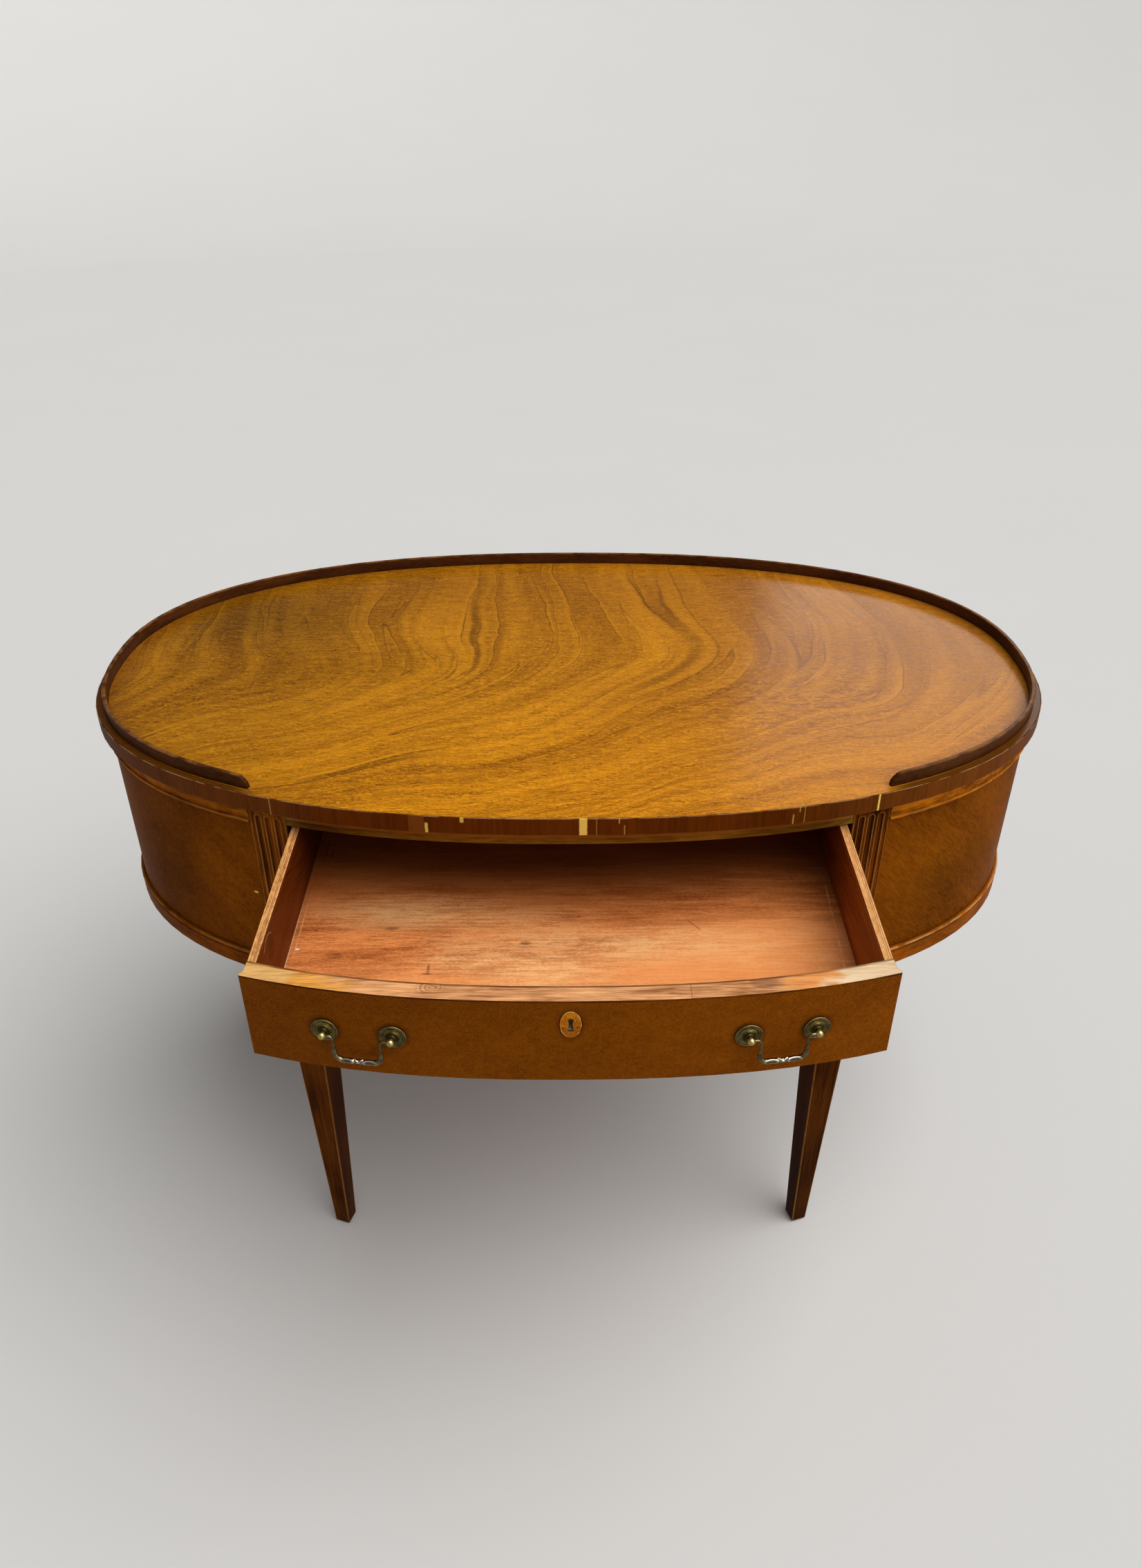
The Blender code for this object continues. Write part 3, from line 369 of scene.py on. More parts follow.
def oval_reach(finish, inset, drawn):
    """How far a place lies towards an inset oval's rim, across and along: both add up to 1 on the rim."""
    parts = []
    for part, half in (
        (finish.x, TOP_HALF_WIDTH - inset), (finish.total(finish.y, drawn), TOP_HALF_DEPTH - inset)
    ):
        share = finish.calc("ABSOLUTE", finish.calc("DIVIDE", part, half))
        parts.append(finish.calc("POWER", share, OVAL_POWER))
    return parts


def figured_top(woods):
    """Veneer of the top: sparse swinging growth lines over close dashes, ripple and a darker border."""
    finish = Finish("top_polish", specular=0.05, gloss=WARM_GLOSS)
    field = top_field(finish)
    cloud = finish.grain((4.0, 4.0, 0.0))
    broad = finish.even(along_field(finish, field, 5.0, 1.0, 2.0))
    streaks = finish.even(along_field(finish, field, 30.0, 2.0, 4.0))
    wave = finish.grain((16.0, 20.0, 0.0), 3.0)
    level_grain = finish.join(finish.x, finish.total(finish.y, (wave, 0.030)), 0.0)
    fine = finish.fleck((20.0, 170.0, 0.0), place=level_grain)
    dashes = finish.fleck((60.0, 420.0, 0.0), place=level_grain)
    speck = finish.fleck((260.0, 620.0, 0.0), 1.0, place=level_grain)
    pores = finish.ramp(finish.grain((150.0, 640.0, 0.0), 1.0, place=level_grain), 0.57, 0.66)
    ripple = finish.fleck((60.0, 190.0, 0.0), 1.0, 1.4)
    ripple_spots = finish.largest(
        finish.spot((-0.125, -0.05, TOP_LEVEL), (0.09, 0.045, 1.0), 0.8),
        finish.spot((0.29, -0.11, TOP_LEVEL), (0.12, 0.075, 1.0), 0.8)
    )
    ripple = finish.times(finish.calc("SUBTRACT", ripple, 0.5), finish.total((ripple_spots, 0.45), 0.06))
    tone = finish.total(
        (broad, 0.28), (streaks, 0.32), (fine, 0.23), (dashes, 0.28), (speck, 0.37), -0.24, ripple
    )
    finish.base = finish.mix(tone, woods.top_brown, woods.top_gold)
    for across, along, shift, weight in (
        (7.0, 0.5, 1.7, 0.85), (16.0, 0.9, 3.0, 0.70), (36.0, 1.6, 7.0, 0.55)
    ):
        level = finish.calc("SUBTRACT", along_field(finish, field, across, along, 1.0, shift), 0.5)
        show = finish.ramp(along_field(finish, field, 3.0, 4.0, 1.0, shift), 0.36, 0.62)
        shade = finish.times(finish.band(level, -0.060, -0.003, 0.02), show)
        finish.coat(woods.top_brown, shade, 0.32 * weight)
        gleam = finish.times(finish.band(level, 0.004, 0.022, 0.008), show)
        finish.coat(woods.top_gold, gleam, 0.45 * weight)
        thin = finish.fall(finish.calc("ABSOLUTE", level), 0.0, 0.0019 * across ** 0.5)
        ragged = finish.ramp(finish.total((dashes, 0.5), (speck, 0.5)), 0.10, 0.55, 0.35, 1.0)
        thin = finish.times(thin, show, ragged)
        finish.coat(woods.top_line, thin, weight)
    finish.coat(woods.top_line, pores, 0.26)
    sparks = finish.ramp(finish.grain((120.0, 560.0, 0.0), 1.0, place=level_grain), 0.56, 0.68)
    finish.coat((0.84, 0.38, 0.016), sparks, 0.40)
    shadow_side = finish.ramp(finish.total(finish.x, (cloud, 0.2)), -0.46, 0.16, 0.92, 0.0)
    finish.tint((0.72, 0.73, 0.55), shadow_side)
    for centre, radii, tint in (
        ((-0.44, 0.140, TOP_LEVEL), (0.13, 0.080, 1.0), (0.66, 0.68, 0.60)),
        ((-0.30, 0.010, TOP_LEVEL), (0.17, 0.050, 1.0), (0.84, 0.83, 0.70)),
        ((0.345, 0.045, TOP_LEVEL), (0.10, 0.050, 1.0), (0.82, 0.78, 0.75)),
        ((0.500, 0.080, TOP_LEVEL), (0.08, 0.120, 1.0), (0.78, 0.76, 0.75))
    ):
        finish.tint(tint, finish.spot(centre, radii, 0.8))
    warm = finish.ramp(finish.total(finish.x, (cloud, 0.3)), 0.05, 0.6)
    finish.coat((0.46, 0.145, 0.020), warm, 0.28)
    near = finish.times(finish.fall(finish.y, -0.34, -0.02), finish.ramp(finish.x, -0.48, -0.22))
    finish.tint((1.28, 1.24, 1.0), near, 0.80)
    far = finish.times(finish.ramp(finish.y, 0.02, 0.26), finish.ramp(finish.x, 0.10, 0.45, 1.0, 0.5))
    finish.tint((0.80, 0.76, 0.70), far)
    reach_x, reach_y = oval_reach(finish, 0.0, 0.0)
    railed = finish.largest(finish.ramp(finish.y, -0.31, -0.27), finish.ramp(reach_x, 0.25, 0.35))
    reach = finish.total(reach_x, reach_y)
    border = finish.ramp(finish.total(reach, (cloud, 0.12)), 0.86, 1.06)
    finish.coat((0.15, 0.040, 0.006), border, railed, 0.6)
    rim = finish.times(finish.ramp(reach, 0.950, 0.962), railed)
    finish.coat((0.075, 0.021, 0.002), rim, 0.85)
    roughness = finish.ramp(finish.total((fine, 0.5), (cloud, 0.5)), 0.2, 0.8, 0.14, 0.24)
    relief = finish.total((pores, -1.0), (dashes, 0.4))
    return finish.surface(roughness, relief, 0.00012, 0.22)


def edge_veneer(woods):
    """Cross-cut veneer round the top, with the chips, patches and scratches of its front edge."""
    finish = Finish("edge_polish", specular=0.05, gloss=WARM_GLOSS)
    fine = finish.fleck((320.0, 320.0, 18.0), 3.0)
    broad = finish.fleck((22.0, 22.0, 4.0))
    finish.base = finish.mix(
        finish.total((fine, 0.30), (broad, 0.26), 0.22), (0.070, 0.016, 0.001), woods.band_brown
    )
    finish.tint((1.25, 1.32, 0.80), finish.ramp(finish.x, 0.28, 0.42))
    breaks = finish.ramp(finish.grain((45.0, 45.0, 45.0), 3.0), 0.36, 0.58)
    worn = finish.times(finish.edges(0.0018), breaks)
    finish.coat(woods.wear_gold, worn, 0.45)
    arris = finish.times(worn, finish.ramp(finish.z, TOP_LEVEL - 0.003, TOP_LEVEL - 0.001))
    finish.coat((0.66, 0.40, 0.19), arris, 0.75)
    front = finish.fall(finish.y, -0.25, -0.24)
    ragged = finish.total(finish.x, (finish.calc("SUBTRACT", finish.grain((0.0, 0.0, 420.0)), 0.5), 0.0035))
    lower = finish.fall(finish.z, TOP_LEVEL - 0.010, TOP_LEVEL - 0.008)
    upper = finish.ramp(finish.z, TOP_LEVEL - 0.0075, TOP_LEVEL - 0.0055)
    full = finish.ramp(finish.z, 0.0, 0.1)
    patch = finish.times(finish.band(ragged, -0.176, -0.1585, 0.0005), front)
    finish.coat((0.26, 0.085, 0.016), patch, 0.55)
    marks = [
        (0.0103, 0.0189, full, 0.95), (-0.1578, -0.1545, lower, 0.85), (-0.1190, -0.1150, upper, 0.75),
        (0.0288, 0.0294, full, 0.35), (0.3441, 0.3461, full, 0.95), (-0.3337, -0.3329, full, 0.40),
        (0.0530, 0.0542, upper, 0.5), (0.0590, 0.0600, lower, 0.4), (0.2450, 0.2462, lower, 0.55),
        (0.2520, 0.2530, upper, 0.5), (0.2580, 0.2588, full, 0.35)
    ]
    chips = [
        finish.times(finish.band(ragged, low, high, 0.0006), part, weight)
        for low, high, part, weight in marks
    ]
    bare = finish.times(finish.largest(*chips), front)
    finish.coat(woods.chip_pale, bare)
    roughness = finish.total((fine, 0.16), (bare, 0.4), 0.26)
    return finish.surface(roughness, finish.total((fine, 0.4), (bare, -2.0)), 0.0003, 0.35)


def gallery_wood(woods):
    """Dark rail round the top, with its upper edge a little rubbed."""
    finish = Finish("gallery_wood", specular=0.08, gloss=WARM_GLOSS)
    fine = finish.fleck((90.0, 90.0, 500.0), 3.0)
    broad = finish.fleck((9.0, 9.0, 40.0))
    finish.base = finish.mix(
        finish.total((fine, 0.4), (broad, 0.5)), (0.040, 0.011, 0.003), (0.105, 0.031, 0.007)
    )
    crown = finish.ramp(finish.z, TOP_LEVEL + 0.0138, TOP_LEVEL + 0.0158)
    rubbed = finish.times(crown, finish.fleck((60.0, 60.0, 60.0), 4.0))
    finish.coat(woods.wear_gold, rubbed, 0.30)
    # Painted shade along the foot of the rail, where it meets the top.
    foot_shade = finish.fall(finish.z, TOP_LEVEL, TOP_LEVEL + 0.003)
    finish.coat((0.024, 0.007, 0.002), foot_shade, 0.5)
    roughness = finish.total((fine, 0.12), (rubbed, 0.10), 0.27)
    return finish.surface(roughness, fine, 0.0002, 0.3)


def panel_veneer(woods):
    """Veneer of a curved panel: soft leaning bands, close leaning mottle and short pores."""
    finish = Finish("panel_polish", specular=0.008, gloss=WARM_GLOSS, bloom=0.10)
    lean = finish.join(
        finish.total(finish.x, (finish.z, 0.8)), finish.total(finish.y, (finish.z, 0.4)),
        finish.times(finish.z, 0.35)
    )
    bands = finish.even(finish.noise(lean, 13.0, 2.0, 0.4))
    wide = finish.even(finish.noise(finish.place, 5.0, 1.0))
    curl = finish.fleck((330.0, 330.0, 330.0), 1.0, 0.6, place=lean)
    mottle = finish.fleck((90.0, 90.0, 110.0), 2.0, 0.5, place=lean)
    dashes = finish.ramp(finish.grain((620.0, 620.0, 130.0), 1.0, place=lean), 0.58, 0.70)
    tone = finish.total((bands, 0.30), (wide, 0.18), (curl, 0.34), (mottle, 0.18), -0.03)
    finish.base = finish.mix(tone, woods.panel_dark, woods.panel_light)
    finish.coat((0.050, 0.012, 0.001), dashes, 0.28)
    # Darker towards the left: partly the veneer's own tone, partly painted shade.
    finish.tint((0.78, 0.76, 0.70), finish.fall(finish.x, -0.30, 0.05))
    for centre, radii, tint in (
        ((-0.400, -0.275, 0.620), (0.045, 0.060, 0.070), (1.42, 1.46, 1.0)),
        ((-0.500, -0.218, 0.590), (0.050, 0.060, 0.080), (0.78, 0.80, 0.70)),
        ((0.445, -0.252, 0.660), (0.065, 0.070, 0.050), (1.14, 1.20, 1.0)),
        ((0.480, -0.232, 0.590), (0.090, 0.080, 0.040), (0.80, 0.86, 0.80))
    ):
        finish.tint(tint, finish.spot(centre, radii, 0.8), 0.85)
    # Painted shade in the corners.
    finish.coat((0.055, 0.013, 0.001), finish.hollows(0.02), 0.5)
    nick = finish.spot((-0.3746, -0.2887, 0.6099), (0.0026, 0.02, 0.0016), 0.4)
    finish.coat(woods.chip_pale, nick, 0.7)
    roughness = finish.ramp(finish.total((curl, 0.5), (wide, 0.5)), 0.0, 1.0, 0.26, 0.40)
    return finish.surface(roughness, finish.total((curl, 0.4), (dashes, -0.7)), 0.00015, 0.25)


def moulding_wood(name, woods, bead, crackled, light, shadow, rubbed):
    """Solid moulding round the oval: worn along its arrises, with a painted highlight along its bead,
    painted shade in its corners, crazed in its hollow.
    """
    finish = Finish(name, specular=0.015, gloss=WARM_GLOSS, bloom=0.10)
    fine = finish.fleck((80.0, 80.0, 520.0), 3.0)
    broad = finish.fleck((16.0, 16.0, 60.0))
    finish.base = finish.mix(finish.total((fine, 0.40), (broad, 0.55)), (0.15, 0.038, 0.001), light)
    finish.tint(shadow, finish.fall(finish.x, -0.30, 0.05))
    if crackled:
        cells = {"Vector": finish.stretch(finish.place, (150.0, 150.0, 60.0)), "Scale": 1.0}
        web = finish.add("ShaderNodeTexVoronoi", cells, feature="DISTANCE_TO_EDGE").outputs["Distance"]
        where = finish.ramp(finish.noise(finish.place, 7.0), 0.50, 0.62)
        craze = finish.times(finish.fall(web, 0.0, 0.07), where)
        finish.coat((0.045, 0.012, 0.001), craze, 0.55)
    # Painted shade in the corners.
    finish.coat((0.030, 0.008, 0.001), finish.hollows(0.006), 0.80)
    breaks = finish.ramp(finish.noise(finish.place, 38.0, 4.0), 0.30, 0.54)
    worn = finish.times(finish.edges(0.0014, 0.02, 0.2), 0.75)
    # A painted highlight along the bead, laid with the worn arrises and growing stronger to the right.
    crown = finish.band(finish.z, bead - 0.0006, bead + 0.0010, 0.0005)
    worn = finish.times(finish.largest(worn, crown), breaks)
    rub_and_highlight = finish.times(worn, finish.ramp(finish.x, -0.1, 0.1, 0.34, rubbed))
    finish.coat(finish.mix(finish.ramp(rub_and_highlight, 0.3, 0.6), woods.wear_gold, (0.72, 0.43, 0.19)), rub_and_highlight)
    roughness = finish.total((fine, 0.10), (worn, 0.1), 0.26)
    return finish.surface(roughness, fine, 0.00015, 0.3)


def leg_wood(woods):
    """Solid leg: upright grain, dark pores, painted shade on its inner face and in its corners, with arrises
    rubbed to pale wood.
    """
    finish = Finish("leg_polish", specular=0.012, gloss=WARM_GLOSS)
    fine = finish.fleck((420.0, 420.0, 14.0), 3.0)
    broad = finish.fleck((60.0, 60.0, 5.0))
    wide = finish.even(finish.noise(finish.place, 9.0))
    pores = finish.ramp(finish.grain((1000.0, 1000.0, 60.0), 1.0), 0.58, 0.70)
    tone = finish.total((fine, 0.34), (broad, 0.34), (wide, 0.32))
    upper = finish.ramp(finish.z, BASE_LOW.z - 0.03, BASE_LOW.z + 0.03)
    light = finish.mix(upper, woods.leg_light, (0.31, 0.074, 0.002))
    finish.base = finish.mix(finish.ramp(tone, 0.05, 0.95), woods.leg_dark, light)
    finish.coat((0.026, 0.007, 0.001), pores, 0.5)
    to_right = finish.ramp(finish.x, -0.1, 0.1)
    finish.tint((0.72, 0.66, 0.60), to_right, upper)
    lower_right = finish.times(to_right, finish.calc("SUBTRACT", 1.0, upper))
    finish.tint((0.64, 0.62, 0.60), lower_right)
    fade = finish.times(finish.fall(finish.total(finish.z, (wide, 0.06)), 0.06, 0.30), lower_right)
    finish.coat((0.034, 0.011, 0.003), fade, 0.45)
    # Painted shade on the inner faces, which look into the kneehole.
    inward = finish.times(finish.normal()[0], finish.ramp(finish.x, -0.01, 0.01, 1.0, -1.0))
    finish.coat((0.030, 0.0065, 0.001), finish.ramp(inward, 0.0, 0.3, 0.0, 0.62))
    # Painted shade in the flutes and corners.
    finish.coat((0.022, 0.006, 0.001), finish.hollows(0.005), 0.65)
    foot = finish.fall(finish.total(finish.z, (wide, 0.02)), 0.008, 0.05)
    finish.coat((0.024, 0.010, 0.005), foot, 0.60)
    breaks = finish.ramp(finish.grain((60.0, 60.0, 26.0), 4.0), 0.26, 0.48, 0.55, 1.0)
    worn = finish.times(finish.edges(0.0030, 0.02, 0.12), breaks)
    finish.coat(woods.wear_gold, worn)
    roughness = finish.total((fine, 0.12), (worn, 0.12), 0.30)
    return finish.surface(roughness, finish.total((fine, 0.5), (pores, -0.8)), 0.00015, 0.3)


def front_veneer(woods):
    """Drawer front: orange-brown veneer with a close curl, and the pale solid wood of its top edge."""
    finish = Finish("front_polish", specular=0.02, gloss=WARM_GLOSS)
    curl = finish.fleck((520.0, 520.0, 600.0), 2.0, 0.6)
    mottle = finish.fleck((120.0, 120.0, 150.0), 2.0, 0.7)
    drift = finish.fleck((26.0, 26.0, 30.0), 2.0, 0.6)
    wide = finish.fleck((6.0, 6.0, 10.0))
    tone = finish.total((curl, 0.42), (mottle, 0.16), (drift, 0.14), (wide, 0.18), 0.05)
    finish.base = finish.mix(tone, woods.front_dark, woods.front_light)
    # Brighter towards the right: painted light.
    finish.tint((1.28, 1.28, 1.1), finish.ramp(finish.x, -0.3, 0.3))
    halo = finish.spot(PLATE_CENTRE, (0.0135, 0.05, 0.0195), 0.26)
    finish.coat((0.055, 0.014, 0.001), halo, 0.55)
    line = finish.spot(PLATE_CENTRE, (0.0113, 0.05, 0.0178), 0.03)
    finish.coat((0.012, 0.004, 0.001), line, 0.9)
    for side in SIDES:
        for place in SIDES:
            low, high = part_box(f"{side}_handle_{place}_rosette")
            # Darker ring round each back plate.
            plate_surround = finish.spot((low + high) / 2, (0.0165, 0.03, 0.0165), 0.22)
            finish.coat((0.050, 0.013, 0.001), plate_surround, 0.55)
    lip = finish.band(finish.z, FRONT_HIGH.z - 0.0022, FRONT_HIGH.z + 0.001, 0.0004)
    lip = finish.times(lip, finish.ramp(finish.noise(finish.place, 14.0, 3.0), 0.35, 0.60, 0.25, 0.95))
    finish.coat((0.060, 0.013, 0.002), lip)
    keyway = finish.spot(PLATE_CENTRE, (0.006, 0.1, 0.013), 0.05)
    behind = finish.ramp(finish.y, PLATE_HIGH.y + 0.0002, PLATE_HIGH.y + 0.0010)
    inside = finish.times(keyway, behind, finish.fall(finish.y, FRONT_LOW.y + 0.014, FRONT_LOW.y + 0.016))
    lines = finish.fleck((34.0, 520.0, 60.0), 3.0, 0.8)
    stripes = finish.fleck((9.0, 170.0, 20.0), 4.0, 0.7)
    shades = finish.fleck((14.0, 24.0, 0.0), 3.0, 0.5)
    place = finish.total(finish.x, (shades, 0.05), -0.025)
    dim, lit = (0.22, 0.060, 0.014), (1.0, 0.49, 0.205)
    for low, high, left_end, dark, pale in (
        (-0.240, -0.205, True, (0.38, 0.130, 0.016), (1.0, 0.47, 0.10)),
        (-0.290, -0.262, True, (0.48, 0.235, 0.065), (0.97, 0.57, 0.20)),
        (0.195, 0.225, False, (0.60, 0.205, 0.050), (1.0, 0.44, 0.14)),
        (0.240, 0.272, False, (0.62, 0.41, 0.21), (0.98, 0.72, 0.46))
    ):
        share = finish.ramp(place, low, high, float(left_end), float(not left_end))
        dim = finish.lay(dim, dark, share)
        lit = finish.lay(lit, pale, share)
    edge = finish.mix(finish.total((lines, 0.40), (stripes, 0.34), (shades, 0.28), -0.01), dim, lit)
    bent = finish.total((finish.noise(finish.place, 90.0, 3.0), 0.0090), -0.0045)
    knot_x, knot_y, ring_count = -0.1325, -0.5700, 21.0
    away = finish.join(finish.total(finish.x, bent, -knot_x), finish.total(finish.y, bent, -knot_y), 0.0)
    reach = finish.span(finish.stretch(away, (66.0, 105.0, 0.0)))
    rings = finish.calc("SINE", finish.times(reach, ring_count))
    knot = finish.times(finish.ramp(rings, -0.5, 0.9), finish.ramp(reach, 0.55, 1.15, 0.6, 0.0))
    edge = finish.lay(edge, (0.24, 0.075, 0.020), knot)
    stain = finish.spot((0.184, -0.563, FRONT_HIGH.z), (0.014, 0.011, 0.01), 0.25)
    edge = finish.lay(edge, (0.22, 0.090, 0.045), stain, finish.total((stripes, 0.6), 0.15))
    rim = finish.edges(0.0012, 0.05, 0.25)
    edge = finish.lay(edge, (0.12, 0.034, 0.010), rim, 0.85)
    face_inset, front_thickness = 0.010, 0.0205
    drawn = face_inset - TOP_HALF_DEPTH - FRONT_LOW.y
    groove = finish.total(*oval_reach(finish, face_inset + front_thickness, drawn))
    groove = finish.times(finish.band(groove, 0.90, 1.014, 0.005), finish.total((stripes, 0.5), 0.45))
    edge = finish.lay(edge, (0.10, 0.028, 0.008), groove)
    joint = finish.band(finish.x, 0.1135, 0.1142, 0.0003)
    edge = finish.lay(edge, (0.20, 0.06, 0.02), joint, 0.7)
    facing = finish.normal()
    top_edge = finish.times(
        finish.ramp(facing[2], 0.5, 0.7), finish.ramp(finish.z, FRONT_HIGH.z - 0.002, FRONT_HIGH.z - 0.001)
    )
    inner = finish.ramp(facing[1], 0.3, 0.6)
    lining = finish.mix(lines, (0.26, 0.080, 0.022), woods.drawer_red)
    finish.coat(lining, inner)
    finish.coat(edge, top_edge)
    finish.coat((0.40, 0.37, 0.22), inside)
    roughness = finish.total((curl, 0.10), (top_edge, 0.25), 0.27)
    relief = finish.total((curl, 0.3), (finish.times(lines, top_edge), 0.8))
    return finish.surface(roughness, relief, 0.00015, 0.3)


def lining_wood(woods):
    """Bottom of the drawer: red-brown board with lengthwise grain, a worn pale bloom and old marks, with
    painted light towards its front and right and painted shade towards its back and sides.
    """
    finish = Finish("drawer_bottom_wood", specular=0.08, gloss=WARM_GLOSS)
    lines = finish.fleck((60.0, 400.0, 60.0), 3.0, 0.8)
    long = finish.fleck((16.0, 300.0, 60.0), 3.0, 0.4)
    speck = finish.fleck((260.0, 700.0, 60.0), 1.0, 0.5)
    hair = finish.ramp(finish.grain((48.0, 680.0, 60.0), 2.0, 0.5), 0.55, 0.67)
    broad = finish.fleck((7.0, 42.0, 20.0), 4.0, 0.8)
    cloud = finish.fleck((10.0, 17.0, 0.0), 5.0, 0.5)
    scuff = finish.fleck((45.0, 150.0, 0.0), 4.0, 0.8)
    tone = finish.total((lines, 0.24), (long, 0.32), (broad, 0.42), (cloud, 0.46), (speck, 0.30), -0.36)
    finish.base = finish.mix(tone, (0.33, 0.076, 0.016), woods.drawer_red)
    finish.coat((0.30, 0.068, 0.014), hair, 0.40)
    # Brighter red on the right and along the front: painted light.
    for centre, size, weight in (
        ((0.205, -0.430), (0.13, 0.060), 0.75), ((0.0, -0.490), (0.30, 0.045), 0.50)
    ):
        finish.coat(woods.drawer_red, finish.spot((*centre, BOTTOM_LEVEL), (*size, 1.0), 0.7), weight)
    # Pale patches of worn wood; the wide strip along the front and the patch at the right end are painted
    # light.
    patches = [
        ((-0.178, -0.358), (0.085, 0.024), 1.0), ((-0.080, -0.372), (0.08, 0.020), 0.55),
        ((-0.020, -0.408), (0.07, 0.022), 0.70), ((-0.032, -0.456), (0.07, 0.030), 1.0),
        ((0.060, -0.420), (0.08, 0.026), 0.80), ((0.115, -0.411), (0.07, 0.024), 0.90),
        ((0.185, -0.420), (0.075, 0.036), 0.55), ((0.248, -0.432), (0.060, 0.045), 0.45),
        ((0.0, -0.500), (0.30, 0.040), 0.35), ((-0.10, -0.425), (0.05, 0.03), 0.45),
        ((0.285, -0.450), (0.040, 0.045), 0.50), ((-0.095, -0.444), (0.06, 0.018), 0.8)
    ]
    spots = [
        finish.times(finish.spot((*centre, BOTTOM_LEVEL), (*size, 1.0), 0.95), weight)
        for centre, size, weight in patches
    ]
    worn = finish.ramp(finish.total((cloud, 0.30), (scuff, 0.26), (long, 0.26), (speck, 0.18)), 0.18, 0.82)
    pale = finish.times(finish.largest(*spots), finish.total((worn, 0.80), 0.30))
    finish.coat(woods.drawer_pale, pale)
    marks = [
        ((-0.1518, -0.4540), (0.0016, 0.0075)), ((-0.1530, -0.4615), (0.0055, 0.0013)),
        ((-0.1990, -0.3873), (0.0090, 0.0026)), ((-0.0491, -0.4126), (0.0060, 0.0030)),
        ((-0.2558, -0.4316), (0.0080, 0.0040)), ((0.2609, -0.2992), (0.0018, 0.0018)),
        ((-0.2950, -0.2460), (0.0016, 0.026)), ((-0.2875, -0.2430), (0.0011, 0.020)),
        ((-0.3030, -0.2300), (0.0012, 0.020))
    ]
    dark = finish.largest(
        *[finish.spot((*centre, BOTTOM_LEVEL), (*size, 1.0), 0.4) for centre, size in marks]
    )
    finish.coat((0.070, 0.018, 0.007), dark, finish.total((scuff, 0.4), 0.30))
    slant = finish.total(finish.y, (finish.x, 1.25))
    scratch = finish.times(
        finish.band(slant, -0.2114, -0.2096, 0.0006), finish.band(finish.x, 0.1325, 0.1450, 0.001)
    )
    finish.coat((0.16, 0.040, 0.012), scratch, 0.75)
    rubs = finish.largest(
        finish.times(
            finish.band(finish.x, -0.3005, -0.2988, 0.0006), finish.band(finish.y, -0.43, -0.33, 0.02)
        ),
        finish.times(
            finish.band(finish.total(finish.x, (finish.y, -0.036)), 0.3085, 0.3105, 0.0006),
            finish.band(finish.y, -0.47, -0.30, 0.02)
        )
    )
    finish.coat(woods.drawer_pale, rubs, finish.total((scuff, 0.5), 0.1))
    seam = finish.times(
        finish.band(finish.x, SIDE_HIGH.x - 0.001, SIDE_HIGH.x + 0.0012, 0.0003),
        finish.ramp(finish.y, -0.40, -0.27, 0.9, 0.15)
    )
    finish.coat((0.92, 0.60, 0.34), seam, finish.total((lines, 0.6), 0.3))
    chip = finish.spot((-0.2974, -0.4213, BOTTOM_LEVEL), (0.0025, 0.0017, 1.0), 0.15)
    finish.coat((0.90, 0.80, 0.66), chip)
    # Darker towards the back, under the top: painted shade.
    reach_back = finish.total(finish.y, (cloud, 0.03), (finish.ramp(finish.x, 0.05, 0.22), -0.025))
    depth = finish.ramp(reach_back, -0.44, -0.25)
    finish.coat((0.19, 0.046, 0.007), depth, 0.82)
    # Darker near both sides, more on the left: painted shade.
    side_shade = finish.times(
        finish.ramp(finish.calc("ABSOLUTE", finish.x), 0.285, 0.315),
        finish.ramp(finish.x, -0.1, 0.1, 1.0, 0.3)
    )
    finish.coat((0.24, 0.062, 0.014), side_shade, 0.35)
    roughness = finish.total((lines, 0.2), (pale, 0.15), 0.36)
    return finish.surface(roughness, finish.total((lines, 0.8), (dark, -1.0)), 0.0003, 0.4)


